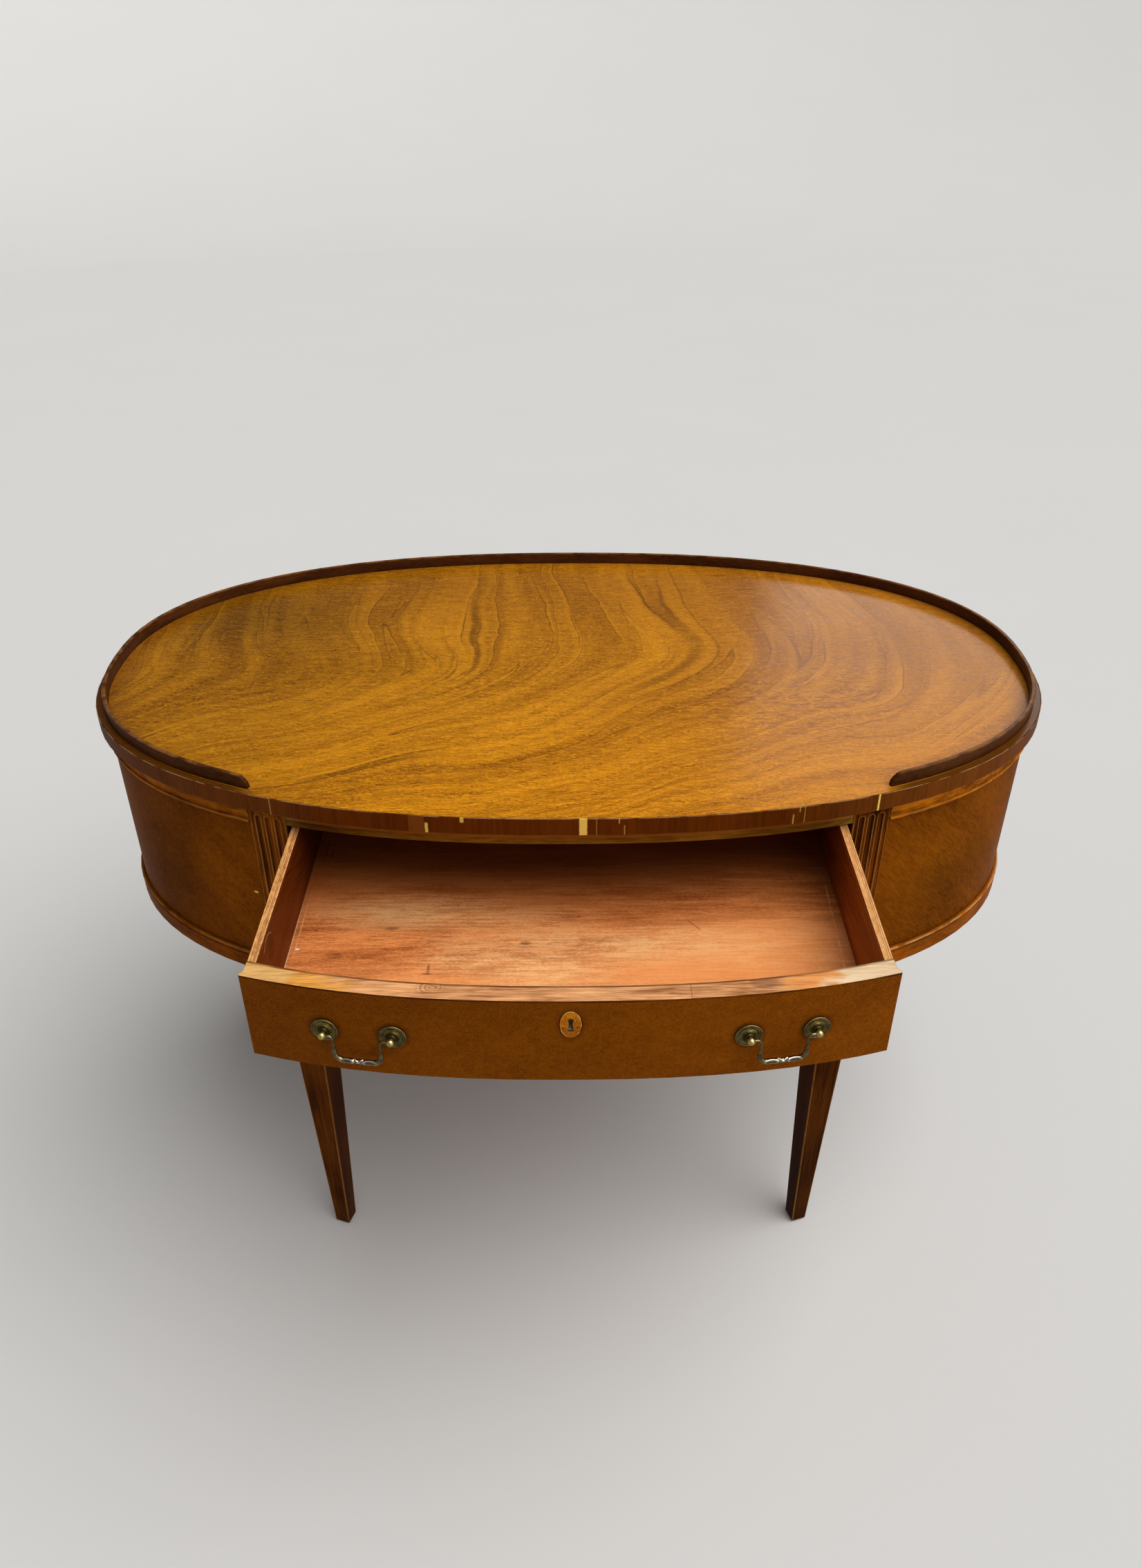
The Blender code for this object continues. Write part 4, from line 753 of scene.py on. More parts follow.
def side_wood():
    """Drawer sides and back: streaky red-brown boards whose tan top edges show a few lengthwise lines."""
    finish = Finish("drawer_side_wood", specular=0.06, gloss=WARM_GLOSS)
    rise = finish.total(finish.z, (finish.y, 0.35))
    streaks = finish.join(
        finish.times(finish.x, 300.0), finish.times(finish.y, 22.0), finish.times(rise, 420.0)
    )
    lines = finish.even(finish.noise(streaks, 1.0, 3.0, 0.4))
    broad = finish.fleck((40.0, 4.0, 40.0), 3.0, 0.4)
    finish.base = finish.mix(
        finish.total((lines, 0.45), (broad, 0.45)), (0.13, 0.030, 0.004), (0.33, 0.090, 0.016)
    )
    across = finish.ramp(finish.calc("ABSOLUTE", finish.x), -SIDE_HIGH.x, -SIDE_LOW.x)
    mottle = finish.fleck((260.0, 90.0, 0.0), 3.0, 0.6)
    hairs = finish.fleck((900.0, 14.0, 0.0))
    to_right = finish.ramp(finish.x, -0.1, 0.1)
    dim = finish.mix(to_right, (0.38, 0.138, 0.036), (0.66, 0.260, 0.072))
    lit = finish.mix(to_right, (1.0, 0.500, 0.170), (1.0, 0.545, 0.205))
    tan = finish.mix(finish.total((mottle, 0.50), (hairs, 0.50)), dim, lit)
    for centre, left_share, right_share in (
        (0.34, 0.85, 0.35), (0.14, 0.55, 0.25), (0.60, 0.20, 0.80), (0.88, 0.10, 0.70)
    ):
        line = finish.band(across, centre - 0.05, centre + 0.05, 0.04)
        weight = finish.ramp(to_right, 0.0, 1.0, left_share, right_share)
        tan = finish.lay(tan, (0.16, 0.052, 0.014), line, weight)
    top_edge = finish.ramp(finish.z, SIDE_HIGH.z - 0.0008, SIDE_HIGH.z - 0.0003)
    finish.coat(tan, top_edge)
    roll = finish.band(finish.z, SIDE_HIGH.z - 0.0046, SIDE_HIGH.z - 0.0036, 0.0004)
    finish.coat((0.50, 0.22, 0.08), roll, 0.5)
    hoop_y, hoop_z = -0.4885, 0.6900
    turn = finish.join(0.0, finish.total(finish.y, -hoop_y), finish.total(finish.z, -hoop_z))
    bend = finish.span(finish.stretch(turn, (0.0, 46.5, 48.8)))
    hoop = finish.times(finish.band(bend, 0.975, 1.025, 0.02), finish.ramp(finish.z, 0.7025, 0.7045))
    inner_face = finish.band(finish.x, SIDE_HIGH.x - 0.002, 0.0, 0.001)
    finish.coat((0.86, 0.74, 0.58), hoop, inner_face, 0.8)
    bruise = finish.spot((SIDE_HIGH.x, -0.4811, 0.6925), (0.005, 0.012, 0.015), 0.3)
    finish.coat((0.075, 0.018, 0.003), bruise, 0.45)
    # Below the top edges the left side is darker, with painted shade, and the right side lighter, with
    # painted light.
    side_light_and_shade = finish.mix(to_right, (0.60, 0.44, 0.28), (1.5, 1.55, 1.0))
    inner = finish.calc("SUBTRACT", 1.0, top_edge)
    finish.tint(side_light_and_shade, inner)
    # Darker towards the back, under the top: painted shade.
    depth = finish.ramp(finish.y, -0.42, -0.24, 0.0, 0.70)
    finish.coat((0.060, 0.013, 0.002), depth, inner)
    roughness = finish.total((lines, 0.16), 0.38)
    return finish.surface(roughness, lines, 0.0002, 0.4)


def plain_wood(woods):
    """Unpolished wood of the case's inside: sawn boards with open grain."""
    finish = Finish("case_wood", specular=0.25)
    lines = finish.grain((200.0, 7.0, 200.0), 3.0, 0.5)
    broad = finish.grain((26.0, 2.5, 26.0), 3.0)
    finish.base = finish.mix(
        finish.ramp(finish.total((lines, 0.5), (broad, 0.6)), 0.3, 0.82), (0.20, 0.098, 0.038),
        woods.plain_tan
    )
    # Painted shade in the corners.
    finish.coat((0.07, 0.032, 0.014), finish.hollows(0.02), 0.5)
    return finish.surface(finish.total((lines, 0.25), 0.50), lines, 0.0003, 0.4)


def rail_wood(woods):
    """Front rails: veneer like the panels, a painted shadow under the top and a lighter strip below it."""
    finish = Finish("rail_polish", specular=0.05, gloss=WARM_GLOSS)
    fine = finish.grain((40.0, 200.0, 420.0), 3.0, 0.5)
    broad = finish.grain((9.0, 20.0, 40.0))
    finish.base = finish.mix(
        finish.ramp(finish.total((fine, 0.5), (broad, 0.6)), 0.32, 0.85), (0.114, 0.048, 0.004),
        (0.39, 0.198, 0.020)
    )
    # Darker at the left end: painted shade.
    finish.tint((0.60, 0.58, 0.60), finish.fall(finish.x, -0.30, -0.10))
    below = finish.fall(finish.z, FRONT_LOW.z, FRONT_HIGH.z)
    finish.tint((0.62, 0.36, 0.45), below)
    # Painted shadow just under the top's edge.
    shadow_under_top = finish.ramp(finish.z, TOP_LEVEL - 0.0270, TOP_LEVEL - 0.0255)
    finish.coat((0.035, 0.009, 0.002), shadow_under_top, 0.85)
    strip = finish.band(finish.z, TOP_LEVEL - 0.0325, TOP_LEVEL - 0.0275, 0.0008)
    finish.coat((0.42, 0.17, 0.030), strip, 0.45)
    worn = finish.times(
        finish.edges(0.0016), finish.ramp(finish.noise(finish.place, 30.0, 4.0), 0.40, 0.62)
    )
    finish.coat(woods.wear_gold, worn, 0.6)
    return finish.surface(finish.total((fine, 0.15), 0.28), fine, 0.0002, 0.3)


def inlay_amber(woods):
    """Oval inlay: speckled amber, darker below, with a painted highlight round its rim and painted shade on
    its keyhole wall.
    """
    finish = Finish("inlay_amber", specular=0.06, gloss=WARM_GLOSS)
    speck = finish.fleck((520.0, 520.0, 520.0), 2.0, 0.6)
    cloud = finish.fleck((150.0, 150.0, 150.0))
    finish.base = finish.mix(
        finish.total((speck, 0.6), (cloud, 0.4)), (0.34, 0.085, 0.003), woods.inlay_amber
    )
    lower = finish.ramp(finish.total(finish.z, (finish.x, -0.5)), PLATE_LOW.z, PLATE_HIGH.z, 0.70, 0.0)
    finish.coat((0.26, 0.058, 0.003), lower)
    dots = finish.ramp(finish.noise(finish.place, 620.0, 1.0), 0.60, 0.68)
    finish.coat((0.10, 0.020, 0.002), dots, 0.65)
    away = finish.spot(PLATE_CENTRE, (0.0098, 0.05, 0.0163), 0.04)
    # Painted highlight round the rim.
    rim = finish.times(
        finish.calc("SUBTRACT", 1.0, away),
        finish.ramp(finish.noise(finish.place, 130.0, 1.0), 0.36, 0.60, 0.1, 0.8)
    )
    finish.coat((0.86, 0.47, 0.13), rim)
    # Painted shade on the keyhole wall.
    keyhole_shade = finish.times(finish.ramp(finish.normal()[1], -0.6, -0.3), away)
    finish.coat((0.055, 0.030, 0.012), keyhole_shade)
    return finish.surface(finish.total((speck, 0.15), 0.30), speck, 0.0001, 0.3)


def antique_brass(name, metals, low, high):
    """Old brass: tarnished where the mesh stores shade, and rubbed bright, with a painted highlight, where
    it stores rub.
    """
    finish = Finish(name, metallic=1.0)
    cloud = finish.fleck((170.0, 170.0, 170.0))
    fine = finish.noise(finish.place, 1600.0)
    deep = finish.largest(finish.ramp(finish.hollows(0.003), 0.30, 0.90), finish.stored("shade"))
    finish.base = finish.mix(cloud, low, high)
    finish.coat(metals.brass_dull, deep)
    # Pale on raised places: rubbed wear with a painted highlight.
    finish.coat(metals.brass_bright, finish.stored("rub_and_highlight"))
    roughness = finish.total((cloud, 0.08), (deep, 0.20), 0.22)
    return finish.surface(roughness, fine, 0.00005, 0.2)


def dull_steel(metals):
    """Plain steel of the nuts and glides, scuffed and a little stained."""
    finish = Finish("dull_steel", metallic=1.0)
    cloud = finish.noise(finish.place, 300.0, 3.0)
    scuff = finish.grain((900.0, 900.0, 60.0))
    finish.base = finish.mix(finish.ramp(cloud, 0.4, 0.65), metals.steel_grey, (0.19, 0.16, 0.13))
    return finish.surface(finish.total((scuff, 0.3), 0.28), scuff, 0.0001, 0.25)


# Shapes

def crease_group():
    """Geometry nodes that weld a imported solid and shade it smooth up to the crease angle."""
    group = bpy.data.node_groups.get("desk_creases")
    if group:
        return group
    group = bpy.data.node_groups.new("desk_creases", "GeometryNodeTree")
    group.interface.new_socket("Geometry", in_out="INPUT", socket_type="NodeSocketGeometry")
    group.interface.new_socket("Geometry", in_out="OUTPUT", socket_type="NodeSocketGeometry")
    start = group.nodes.new("NodeGroupInput")
    end = group.nodes.new("NodeGroupOutput")
    weld = group.nodes.new("GeometryNodeMergeByDistance")
    weld.inputs["Distance"].default_value = WELD_GAP
    angle = group.nodes.new("GeometryNodeInputMeshEdgeAngle")
    sharp = group.nodes.new("FunctionNodeCompare")
    sharp.data_type = "FLOAT"
    sharp.operation = "GREATER_THAN"
    sharp.inputs["B"].default_value = CREASE_ANGLE
    shade = group.nodes.new("GeometryNodeSetMeshNormal")
    shade.mode = "SHARPNESS"
    shade.inputs["Remove Custom"].default_value = True
    shade.inputs["Face Sharpness"].default_value = False
    group.links.new(start.outputs[0], weld.inputs["Geometry"])
    group.links.new(weld.outputs[0], shade.inputs["Mesh"])
    group.links.new(angle.outputs["Unsigned Angle"], sharp.inputs["A"])
    group.links.new(sharp.outputs["Result"], shade.inputs["Edge Sharpness"])
    group.links.new(shade.outputs["Mesh"], end.inputs[0])
    return group


def dress(name, material, arris=0.0):
    """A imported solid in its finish, shaded smooth, with its arrises broken where a width is given."""
    if name not in NODES:
        raise RuntimeError(f"the frame has no node named {name}")
    node = NODES[name]
    node.material_slots[0].material = material
    creases = node.modifiers.new("Creases", "NODES")
    creases.node_group = crease_group()
    if arris:
        bevel = node.modifiers.new("Arris", "BEVEL")
        bevel.width = arris
        bevel.segments = 2
        bevel.limit_method = "ANGLE"
        bevel.angle_limit = CREASE_ANGLE
        bevel.harden_normals = True


def add_piece(name, mesh, material, body, slot, *replaced):
    """A new piece in the scene, smooth, on its body, standing for the nodes it replaces; its slot is not
    used.
    """
    mesh.materials.append(material)
    for face in mesh.polygons:
        face.use_smooth = True
    piece = bpy.data.objects.new(name, mesh)
    bpy.context.scene.collection.objects.link(piece)
    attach(piece, body)
    if replaced:
        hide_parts(*replaced)


def axes_frame(origin, x_axis, z_axis):
    """Placement whose axes run along two given directions."""
    y_axis = z_axis.cross(x_axis)
    matrix = Matrix((x_axis, y_axis, z_axis)).transposed().to_4x4()
    matrix.translation = origin
    return matrix


def ring_surface(name, lofts, capped, shades=None, rubs=None):
    """A mesh of lofts through closed rings of points; the first and last ring are capped or joined."""
    shape = bmesh.new()
    for rings in lofts:
        rows = [[shape.verts.new(point) for point in ring] for ring in rings]
        pairs = list(zip(rows, rows[1:]))
        if not capped:
            pairs.append((rows[-1], rows[0]))
        count = len(rows[0])
        for first, second in pairs:
            for step in range(count):
                after = (step + 1) % count
                shape.faces.new((first[step], first[after], second[after], second[step]))
        if capped:
            shape.faces.new(rows[0])
            shape.faces.new(rows[-1])
    bmesh.ops.recalc_face_normals(shape, faces=shape.faces)
    mesh = bpy.data.meshes.new(name)
    shape.to_mesh(mesh)
    shape.free()
    for key, values in (("shade", shades), ("rub_and_highlight", rubs)):
        if values:
            store = mesh.attributes.new(key, "FLOAT", "POINT")
            store.data.foreach_set("value", [value for row in values for value in row])
    return mesh


def turned_rings(profile, steps, stand):
    """Rings of a turned shape from its (radius, height) profile."""
    rings = []
    for radius, height in profile:
        ring = []
        for step in range(steps):
            angle = math.tau * step / steps
            ring.append(stand @ Vector((radius * math.cos(angle), radius * math.sin(angle), height)))
        rings.append(ring)
    return rings


def turned_mesh(name, profile, stand, steps):
    """A turned mesh from its (radius, height, shade) profile, with the shade stored on its points."""
    rings = turned_rings([(radius, height) for radius, height, shade in profile], steps, stand)
    return ring_surface(name, [rings], True, [[shade] * steps for radius, height, shade in profile])


def arc(centre, radii, start, end, count):
    """Points on an arc, ends included, from angles in degrees."""
    points = []
    for step in range(count + 1):
        angle = math.radians(start + (end - start) * step / count)
        points.append((centre[0] + radii[0] * math.cos(angle), centre[1] + radii[1] * math.sin(angle)))
    return points


# Stage

def turned_stage(name, profile, material):
    """A turned part of the stage, from its (radius, height) profile."""
    mesh = bpy.data.meshes.new(name)
    edges = [(step, step + 1) for step in range(len(profile) - 1)]
    mesh.from_pydata([(radius, 0.0, height) for radius, height in profile], edges, [])
    mesh.materials.append(material)
    part = bpy.data.objects.new(name, mesh)
    turn = part.modifiers.new("Turn", "SCREW")
    turn.steps = STAGE_STEPS
    turn.render_steps = STAGE_STEPS
    turn.use_smooth_shade = True
    bpy.context.scene.collection.objects.link(part)
    return part


def lay_floor(stage):
    """Plain pale floor, with a faint mottle, and a sweep all round that rises gently from its rim."""
    finish = Finish("stage_floor", specular=0.15)
    cloud = finish.noise(finish.place, 1.5, 3.0)
    fine = finish.noise(finish.place, 60.0)
    dimmer = tuple(0.96 * part for part in stage.floor_pale)
    finish.base = finish.mix(finish.total((cloud, 0.7), (fine, 0.3)), dimmer, stage.floor_pale)
    finish.coat(stage.sweep_pale, finish.ramp(finish.z, 0.0, 6.0))
    material = finish.surface(finish.total((fine, 0.1), 0.75), fine, 0.0002, 0.1)
    breadth, rim, bend, slope, reach = 40.0, 8.0, 10.0, 38.0, 75.0
    curve = arc((rim, bend), (bend, bend), -90.0, slope - 90.0, 12)
    foot, lift = curve[-1]
    curve.append((reach, lift + (reach - foot) * math.tan(math.radians(slope))))
    floor = turned_stage("stage_floor", [(0.0, 0.0), (breadth, 0.0)], material)
    sweep = turned_stage("stage_sweep", curve, material)
    floor.visible_glossy = False
    sweep.visible_glossy = False
    sweep.visible_diffuse = False
    sweep.visible_shadow = False


def set_lights(stage):
    """Plain surround, soft key and fill from the right, and a soft panel behind that sheens the top."""
    world = bpy.data.worlds.new("stage_surround")
    world.use_nodes = True
    world.node_tree.nodes["Background"].inputs["Color"].default_value = (*stage.world_grey, 1.0)
    bpy.context.scene.world = world
    lamps = []
    for name, strength, spread, toward in (
        ("stage_key", stage.sun_strength, 60, (0.42, -0.16, 0.89)),
        ("stage_fill", stage.fill_strength, 90, (0.75, -0.58, 0.30))
    ):
        sun = bpy.data.lights.new(name, "SUN")
        sun.energy = strength
        sun.angle = math.radians(spread)
        lamp = bpy.data.objects.new(name, sun)
        lamp.rotation_euler = Vector(toward).to_track_quat("Z", "Y").to_euler()
        lamps.append(lamp)
    panel_place, panel_aim = Vector((1.82, 3.0, 2.5)), Vector((0.5, 0.0, 0.76))
    panel = bpy.data.lights.new("stage_panel", "AREA")
    panel.shape = "RECTANGLE"
    panel.size, panel.size_y = 2.1, 1.3
    panel.energy = stage.panel_power
    back = bpy.data.objects.new("stage_panel", panel)
    back.location = panel_place
    back.rotation_euler = (panel_place - panel_aim).to_track_quat("Z", "Y").to_euler()
    back.visible_camera = False
    back.visible_diffuse = False
    for lamp in (*lamps, back):
        bpy.context.scene.collection.objects.link(lamp)


def set_camera(stage):
    """Camera at the photograph's viewpoint."""
    camera = bpy.data.cameras.new("viewpoint")
    camera.sensor_width = 36.0
    camera.sensor_fit = "AUTO"
    camera.lens = stage.camera_lens
    pitch, yaw, roll = stage.camera_pitch, stage.camera_yaw, stage.camera_roll
    ahead = Vector((math.sin(yaw) * math.cos(pitch), math.cos(yaw) * math.cos(pitch), -math.sin(pitch)))
    right = Vector((math.cos(yaw), -math.sin(yaw), 0.0))
    down = ahead.cross(right)
    rolled_right = right * math.cos(roll) + down * math.sin(roll)
    rolled_down = down * math.cos(roll) - right * math.sin(roll)
    turn = Matrix((rolled_right, -rolled_down, -ahead)).transposed().to_4x4()
    turn.translation = Vector(stage.camera_place)
    viewpoint = bpy.data.objects.new("viewpoint", camera)
    viewpoint.matrix_world = turn
    bpy.context.scene.collection.objects.link(viewpoint)
    bpy.context.scene.camera = viewpoint


# Brass work

def oval_normal(seat):
    """Direction square to the drawer front at a seat on it."""
    share = abs(seat.x / TOP_HALF_WIDTH)
    reach = (1 - share ** OVAL_POWER) ** (1 / OVAL_POWER)
    across = math.copysign(share ** (OVAL_POWER - 1) / TOP_HALF_WIDTH, seat.x)
    return Vector((across, -(reach ** (OVAL_POWER - 1)) / TOP_HALF_DEPTH, 0.0)).normalized()


def rosette_mesh(name, metals, stand):
    """Dished back plate with a stepped rim and a raised boss, tarnished round the boss and under the rim."""
    outer = metals.rosette_radius
    rope = metals.rope_radius
    inner = outer - 2 * rope
    profile = [
        (outer - rope, 0.0002, 0.9), (outer - rope * 0.4, 0.0005, 0.7), (outer - rope, 0.0010, 0.7),
        (inner, 0.0014, 0.8), (inner - 0.0006, 0.0017, 0.0), (inner - 0.0012, 0.0016, 0.1),
        (inner - 0.0020, 0.0011, 0.75), (0.0090, 0.0009, 0.15), (0.0078, 0.0012, 0.2),
        (0.0070, 0.0019, 0.55), (0.0064, 0.0030, 0.8), (0.0056, 0.0034, 0.9), (0.0050, 0.0035, 0.95),
        (0.0030, 0.0035, 0.95)
    ]
    return turned_mesh(name, profile, stand, steps=48)


def rope_mesh(name, metals, stand):
    """Twisted rope rim of a back plate, rubbed along its crown, with a painted highlight there."""
    strands, strand_steps, sides = 46, 6, 10
    seat, thickness, swell = 0.0013, 0.86, 0.20
    rings = []
    shades = []
    rubs = []
    rope = metals.rope_radius
    centre = metals.rosette_radius - rope
    count = strands * strand_steps
    for step in range(count):
        angle = math.tau * step / count
        ring = []
        shades.append([])
        rubs.append([])
        for turn in range(sides):
            around = math.tau * turn / sides
            twist = math.cos(strands * angle + 2 * around)
            reach = rope * (thickness + swell * twist)
            radius = centre + reach * math.cos(around)
            height = seat + reach * math.sin(around)
            ring.append(stand @ Vector((radius * math.cos(angle), radius * math.sin(angle), height)))
            shades[-1].append(0.25 - 0.25 * twist)
            rubs[-1].append(max(0.0, 0.35 * twist * math.sin(around + 0.6)))
        rings.append(ring)
    return ring_surface(name, [rings], False, shades, rubs)


def post_mesh(name, metals, stand):
    """Turned post: tarnished collar and neck, and a bright ball end."""
    ball = metals.ball_radius
    profile = [
        (0.0021, -0.022, 1.0), (0.0021, 0.0030, 1.0), (0.0046, 0.0034, 0.95), (0.0048, 0.0040, 0.9),
        (0.0044, 0.0046, 0.9), (0.0031, 0.0050, 1.0), (0.0029, 0.0056, 1.0)
    ]
    for step, (radius, height) in enumerate(arc((0.0, metals.standoff), (ball, ball * 1.06), -44, 86, 12)):
        profile.append((radius, height, max(0.0, 0.8 - 0.3 * step)))
    return turned_mesh(name, profile, stand, steps=32)


def bail_path(metals):
    """Middle line of a bail, from its right pin round to its left one: across, up."""
    neck, drop = metals.bail_neck, metals.bail_drop
    shoulder, corner = 0.0048, 0.0085
    right = [(metals.boring / 2 + 0.0015, 0.0), (metals.boring / 2 - 0.002, 0.0)]
    right += arc((neck + shoulder, -shoulder), (shoulder, shoulder), 90, 180, 12)
    right += arc((neck - corner, corner - drop), (corner, corner), 0, -90, 16)
    points = right + [(-across, up) for across, up in reversed(right)]
    return [Vector(point) for point in points]


def even_points(path, spacing):
    """Points at even spacing along a line of points."""
    result = []
    left_over = 0.0
    for first, second in zip(path, path[1:]):
        run = (second - first).length
        along = left_over
        while along < run:
            result.append(first + (second - first) * (along / run))
            along += spacing
        left_over = along - run
    return result + [path[-1]]


def bail_radius(across, up, around, metals):
    """Radius of a bail at a place on it, and how far its polish is rubbed there, with a painted highlight.

    The wire is plain; the bar has two hollow leaves with raised edges and a crossed tie between them.
    """
    swell_start, swell_end, bare_wire = 0.010, 0.006, 0.35
    leaf_centre, leaf_half, leaf_breadth, leaf_edge, leaf_hollow = 0.0118, 0.0068, 1.15, 0.00055, 0.00040
    tie_half, tie_waist, tie_lean, strand_half, strand_height = 0.0050, 0.00060, 0.0026, 0.0011, 0.00075
    low = max(0.0, min(1.0, (-up - swell_start) / (metals.bail_drop - swell_start - swell_end)))
    swell = low * low * (3 - 2 * low)
    radius = metals.pin_radius + (metals.bar_radius - metals.pin_radius) * swell
    if swell < bare_wire:
        return radius, 0.0
    along = (abs(across) - leaf_centre) / leaf_half
    leaf = math.hypot(along, around / leaf_breadth)
    fade = max(0.0, min(1.0, (1.5 - along) / 1.2))
    rub_and_highlight = fade * math.exp(-((leaf - 1.0) / 0.20) ** 2)
    radius += leaf_edge * rub_and_highlight
    if leaf < 1.0:
        radius -= leaf_hollow * fade * (1.0 - leaf * leaf)
    if abs(across) < tie_half:
        radius -= tie_waist
        for lean in (-tie_lean, tie_lean):
            strand = (across - lean * around) / strand_half
            bulge = math.exp(-strand * strand)
            radius += strand_height * bulge
            rub_and_highlight = max(rub_and_highlight, bulge)
    return radius, min(1.0, rub_and_highlight)


def bail_mesh(name, metals, stand):
    """Swan-neck bail with leaves and a crossed tie on its bar."""
    spacing, sides = 0.0004, 28
    points = even_points(bail_path(metals), spacing)
    rings = []
    rubs = []
    for place, point in enumerate(points):
        before = points[max(place - 1, 0)]
        after = points[min(place + 1, len(points) - 1)]
        heading = (after - before).normalized()
        beside = Vector((heading.y, -heading.x))
        ring = []
        rubs.append([])
        for step in range(sides):
            around = math.tau * step / sides - math.pi
            reach, rub_and_highlight = bail_radius(point.x, point.y, around, metals)
            flat = point + beside * (reach * math.sin(around))
            ring.append(stand @ Vector((flat.x, -reach * math.cos(around), flat.y)))
            rubs[-1].append(rub_and_highlight)
        rings.append(ring)
    return ring_surface(name, [rings], True, rubs=rubs)


def nail_mesh(name):
    """Two small domed nails that hold the oval inlay."""
    profile = ((0.00085, 0.0), (0.00078, 0.00018), (0.00050, 0.00034), (0.00018, 0.00040))
    domes = []
    for across, rise in ((-0.0072, -0.0042), (0.0066, -0.0034)):
        seat = Vector((across, PLATE_LOW.y, PLATE_CENTRE.z + rise))
        domes.append(turned_rings(profile, 12, axes_frame(seat, Vector((1, 0, 0)), Vector((0, -1, 0)))))
    return ring_surface(name, domes, True)


# Operators

class DESK_OT_stage(bpy.types.Operator):
    """Lay the floor and set the lights and the camera"""

    bl_idname = "desk.stage"
    bl_label = "Stage"

    def execute(self, context):
        stage = context.scene.desk_stage
        lay_floor(stage)
        set_lights(stage)
        set_camera(stage)
        context.scene.view_settings.view_transform = "Standard"
        return {"FINISHED"}


class DESK_OT_top(bpy.types.Operator):
    """Veneer the top and its edge"""

    bl_idname = "desk.top"
    bl_label = "Top"

    def execute(self, context):
        woods = context.scene.desk_woods
        dress("top_panel", figured_top(woods))
        dress("edge_band", edge_veneer(woods), ARRIS)
        return {"FINISHED"}


class DESK_OT_gallery(bpy.types.Operator):
    """Polish the gallery round the top"""

    bl_idname = "desk.gallery"
    bl_label = "Gallery"

    def execute(self, context):
        dress("gallery_rail", gallery_wood(context.scene.desk_woods))
        return {"FINISHED"}


class DESK_OT_aprons(bpy.types.Operator):
    """Veneer the curved panels and polish their mouldings"""

    bl_idname = "desk.aprons"
    bl_label = "Aprons"

    def execute(self, context):
        woods = context.scene.desk_woods
        # The last figure of each moulding sets how strong its worn edges and painted bead highlight grow on
        # the right.
        frieze = moulding_wood(
            "frieze_polish", woods, FRIEZE_FOOT + 0.0034, True, (0.74, 0.212, 0.004), (0.58, 0.54, 0.52),
            0.36
        )
        base = moulding_wood(
            "base_polish", woods, BASE_HIGH.z - 0.0014, False, (0.36, 0.091, 0.003), (0.66, 0.62, 0.60),
            0.58
        )
        veneer = panel_veneer(woods)
        for side in ("left", "right", "back"):
            dress(f"{side}_panel", veneer)
            dress(f"{side}_frieze_moulding", frieze)
            dress(f"{side}_base_band", base, FINE_ARRIS)
        return {"FINISHED"}


class DESK_OT_legs(bpy.types.Operator):
    """Polish the four legs and fit their glides"""

    bl_idname = "desk.legs"
    bl_label = "Legs"

    def execute(self, context):
        wood = leg_wood(context.scene.desk_woods)
        steel = dull_steel(context.scene.desk_metals)
        for end in ENDS:
            for side in SIDES:
                dress(f"{end}_{side}_leg", wood)
                dress(f"{end}_{side}_glide", steel)
        return {"FINISHED"}


class DESK_OT_case(bpy.types.Operator):
    """Finish the rails, partitions, runners and blocks of the case"""

    bl_idname = "desk.case"
    bl_label = "Case"

    def execute(self, context):
        woods = context.scene.desk_woods
        rail = rail_wood(woods)
        plain = plain_wood(woods)
        for name in ("front_top_rail", "drawer_blade"):
            dress(name, rail, ARRIS)
        for side in SIDES:
            for part in ("partition", "drawer_runner", "drawer_kicker", "drawer_stop"):
                dress(f"{side}_{part}", plain, ARRIS)
            for end in ENDS:
                dress(f"{end}_{side}_glue_block", plain, ARRIS)
        return {"FINISHED"}


class DESK_OT_drawer(bpy.types.Operator):
    """Finish the drawer's front and box"""

    bl_idname = "desk.drawer"
    bl_label = "Drawer"

    def execute(self, context):
        woods = context.scene.desk_woods
        dress("drawer_front", front_veneer(woods))
        dress("drawer_bottom", lining_wood(woods))
        sides = side_wood()
        for name in ("left_drawer_side", "right_drawer_side", "drawer_back"):
            dress(name, sides, FINE_ARRIS)
        return {"FINISHED"}


class DESK_OT_escutcheon(bpy.types.Operator):
    """Finish the oval inlay round the keyhole and drive its two nails"""

    bl_idname = "desk.escutcheon"
    bl_label = "Escutcheon"

    def execute(self, context):
        dress("escutcheon", inlay_amber(context.scene.desk_woods), INLAY_ARRIS)
        metals = context.scene.desk_metals
        nails = antique_brass("nail_brass", metals, (0.020, 0.006, 0.003), (0.045, 0.014, 0.006))
        add_piece("escutcheon_nails", nail_mesh("escutcheon_nails"), nails, "drawer", "brass")
        return {"FINISHED"}


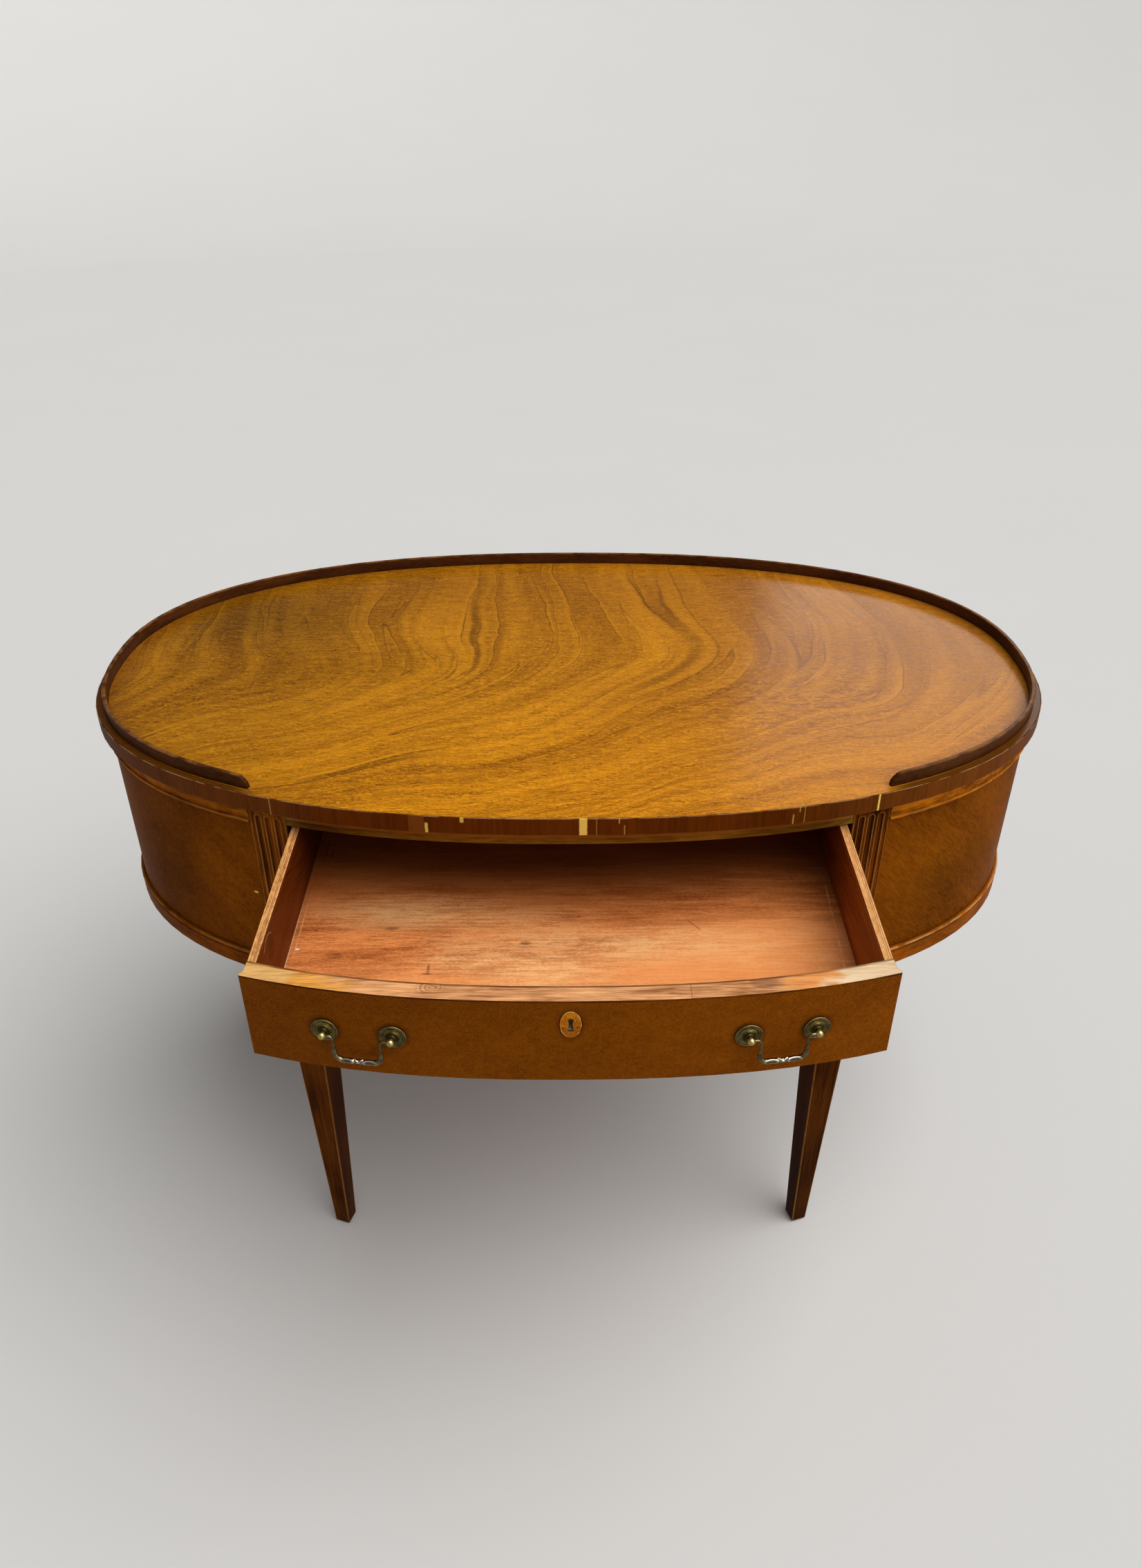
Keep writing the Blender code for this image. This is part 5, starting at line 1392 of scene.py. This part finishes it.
class DESK_OT_handles(bpy.types.Operator):
    """Make the two swan-neck handles: rosettes, rope rims, posts, nuts and bails"""

    bl_idname = "desk.handles"
    bl_label = "Handles"

    def execute(self, context):
        metals = context.scene.desk_metals
        plate_brass = antique_brass("rosette_brass", metals, (0.24, 0.170, 0.045), (0.42, 0.310, 0.090))
        # The posts' brass is painted far brighter than the plates': a painted reflection on the balls.
        post_brass_painted_reflection = antique_brass("post_brass_painted_reflection", metals, (0.66, 0.52, 0.17), (0.80, 0.66, 0.26))
        bail_brass = antique_brass("bail_brass", metals, (0.18, 0.138, 0.062), (0.32, 0.255, 0.124))
        steel = dull_steel(metals)
        for side in SIDES:
            hinge = JOINTS[f"{side}_bail_hinge"]
            pivot = Vector(hinge["pos_m"])
            chord = -Vector(hinge["axis"])
            out = Vector((chord.y, -chord.x, 0.0))
            for place, way in zip(SIDES, (-1, 1)):
                tag = f"{side}_handle_{place}"
                seat = pivot + chord * (way * metals.boring / 2) - out * metals.standoff
                normal = oval_normal(seat)
                flat = axes_frame(seat, Vector((-normal.y, normal.x, 0.0)), normal)
                stand = axes_frame(seat, chord, out)
                plate = rosette_mesh(f"{tag}_plate", metals, flat)
                add_piece(f"{tag}_plate", plate, plate_brass, "drawer", "brass", f"{tag}_rosette")
                rope = rope_mesh(f"{tag}_rope", metals, flat)
                add_piece(f"{tag}_rope", rope, plate_brass, "drawer", "brass")
                post = post_mesh(f"{tag}_turned_post", metals, stand)
                add_piece(f"{tag}_turned_post", post, post_brass_painted_reflection, "drawer", "brass", f"{tag}_post")
                dress(f"{tag}_nut", steel)
            hang = axes_frame(pivot, chord, Vector((0.0, 0.0, 1.0)))
            bail = bail_mesh(f"{side}_cast_bail", metals, hang)
            add_piece(f"{side}_cast_bail", bail, bail_brass, f"{side}_handle_bail", "brass", f"{side}_bail")
        return {"FINISHED"}


OPERATORS = (
    DESK_OT_stage, DESK_OT_top, DESK_OT_gallery, DESK_OT_aprons, DESK_OT_legs, DESK_OT_case, DESK_OT_drawer,
    DESK_OT_escutcheon, DESK_OT_handles
)


class DESK_PT_pieces(bpy.types.Panel):
    """Buttons for the desk's pieces and its stage"""

    bl_idname = "DESK_PT_pieces"
    bl_label = "Writing Desk"
    bl_space_type = "VIEW_3D"
    bl_region_type = "UI"
    bl_category = "Writing Desk"

    def draw(self, context):
        for operator in OPERATORS:
            self.layout.operator(operator.bl_idname)
        for settings in (context.scene.desk_woods, context.scene.desk_metals, context.scene.desk_stage):
            box = self.layout.box()
            for name in settings.__annotations__:
                box.prop(settings, name)


CLASSES = (DeskWoods, DeskMetals, DeskStage, *OPERATORS, DESK_PT_pieces)


def register():
    """Register the settings, operators and panel."""
    for item in CLASSES:
        bpy.utils.register_class(item)
    bpy.types.Scene.desk_woods = PointerProperty(type=DeskWoods)
    bpy.types.Scene.desk_metals = PointerProperty(type=DeskMetals)
    bpy.types.Scene.desk_stage = PointerProperty(type=DeskStage)


def unregister():
    """Take the settings, operators and panel away again."""
    del bpy.types.Scene.desk_stage
    del bpy.types.Scene.desk_metals
    del bpy.types.Scene.desk_woods
    for item in reversed(CLASSES):
        bpy.utils.unregister_class(item)


def main():
    """Dress the desk."""
    register()
    bpy.ops.desk.stage()
    bpy.ops.desk.top()
    bpy.ops.desk.gallery()
    bpy.ops.desk.aprons()
    bpy.ops.desk.legs()
    bpy.ops.desk.case()
    bpy.ops.desk.drawer()
    bpy.ops.desk.escutcheon()
    bpy.ops.desk.handles()


if __name__ == "__main__":
    main()
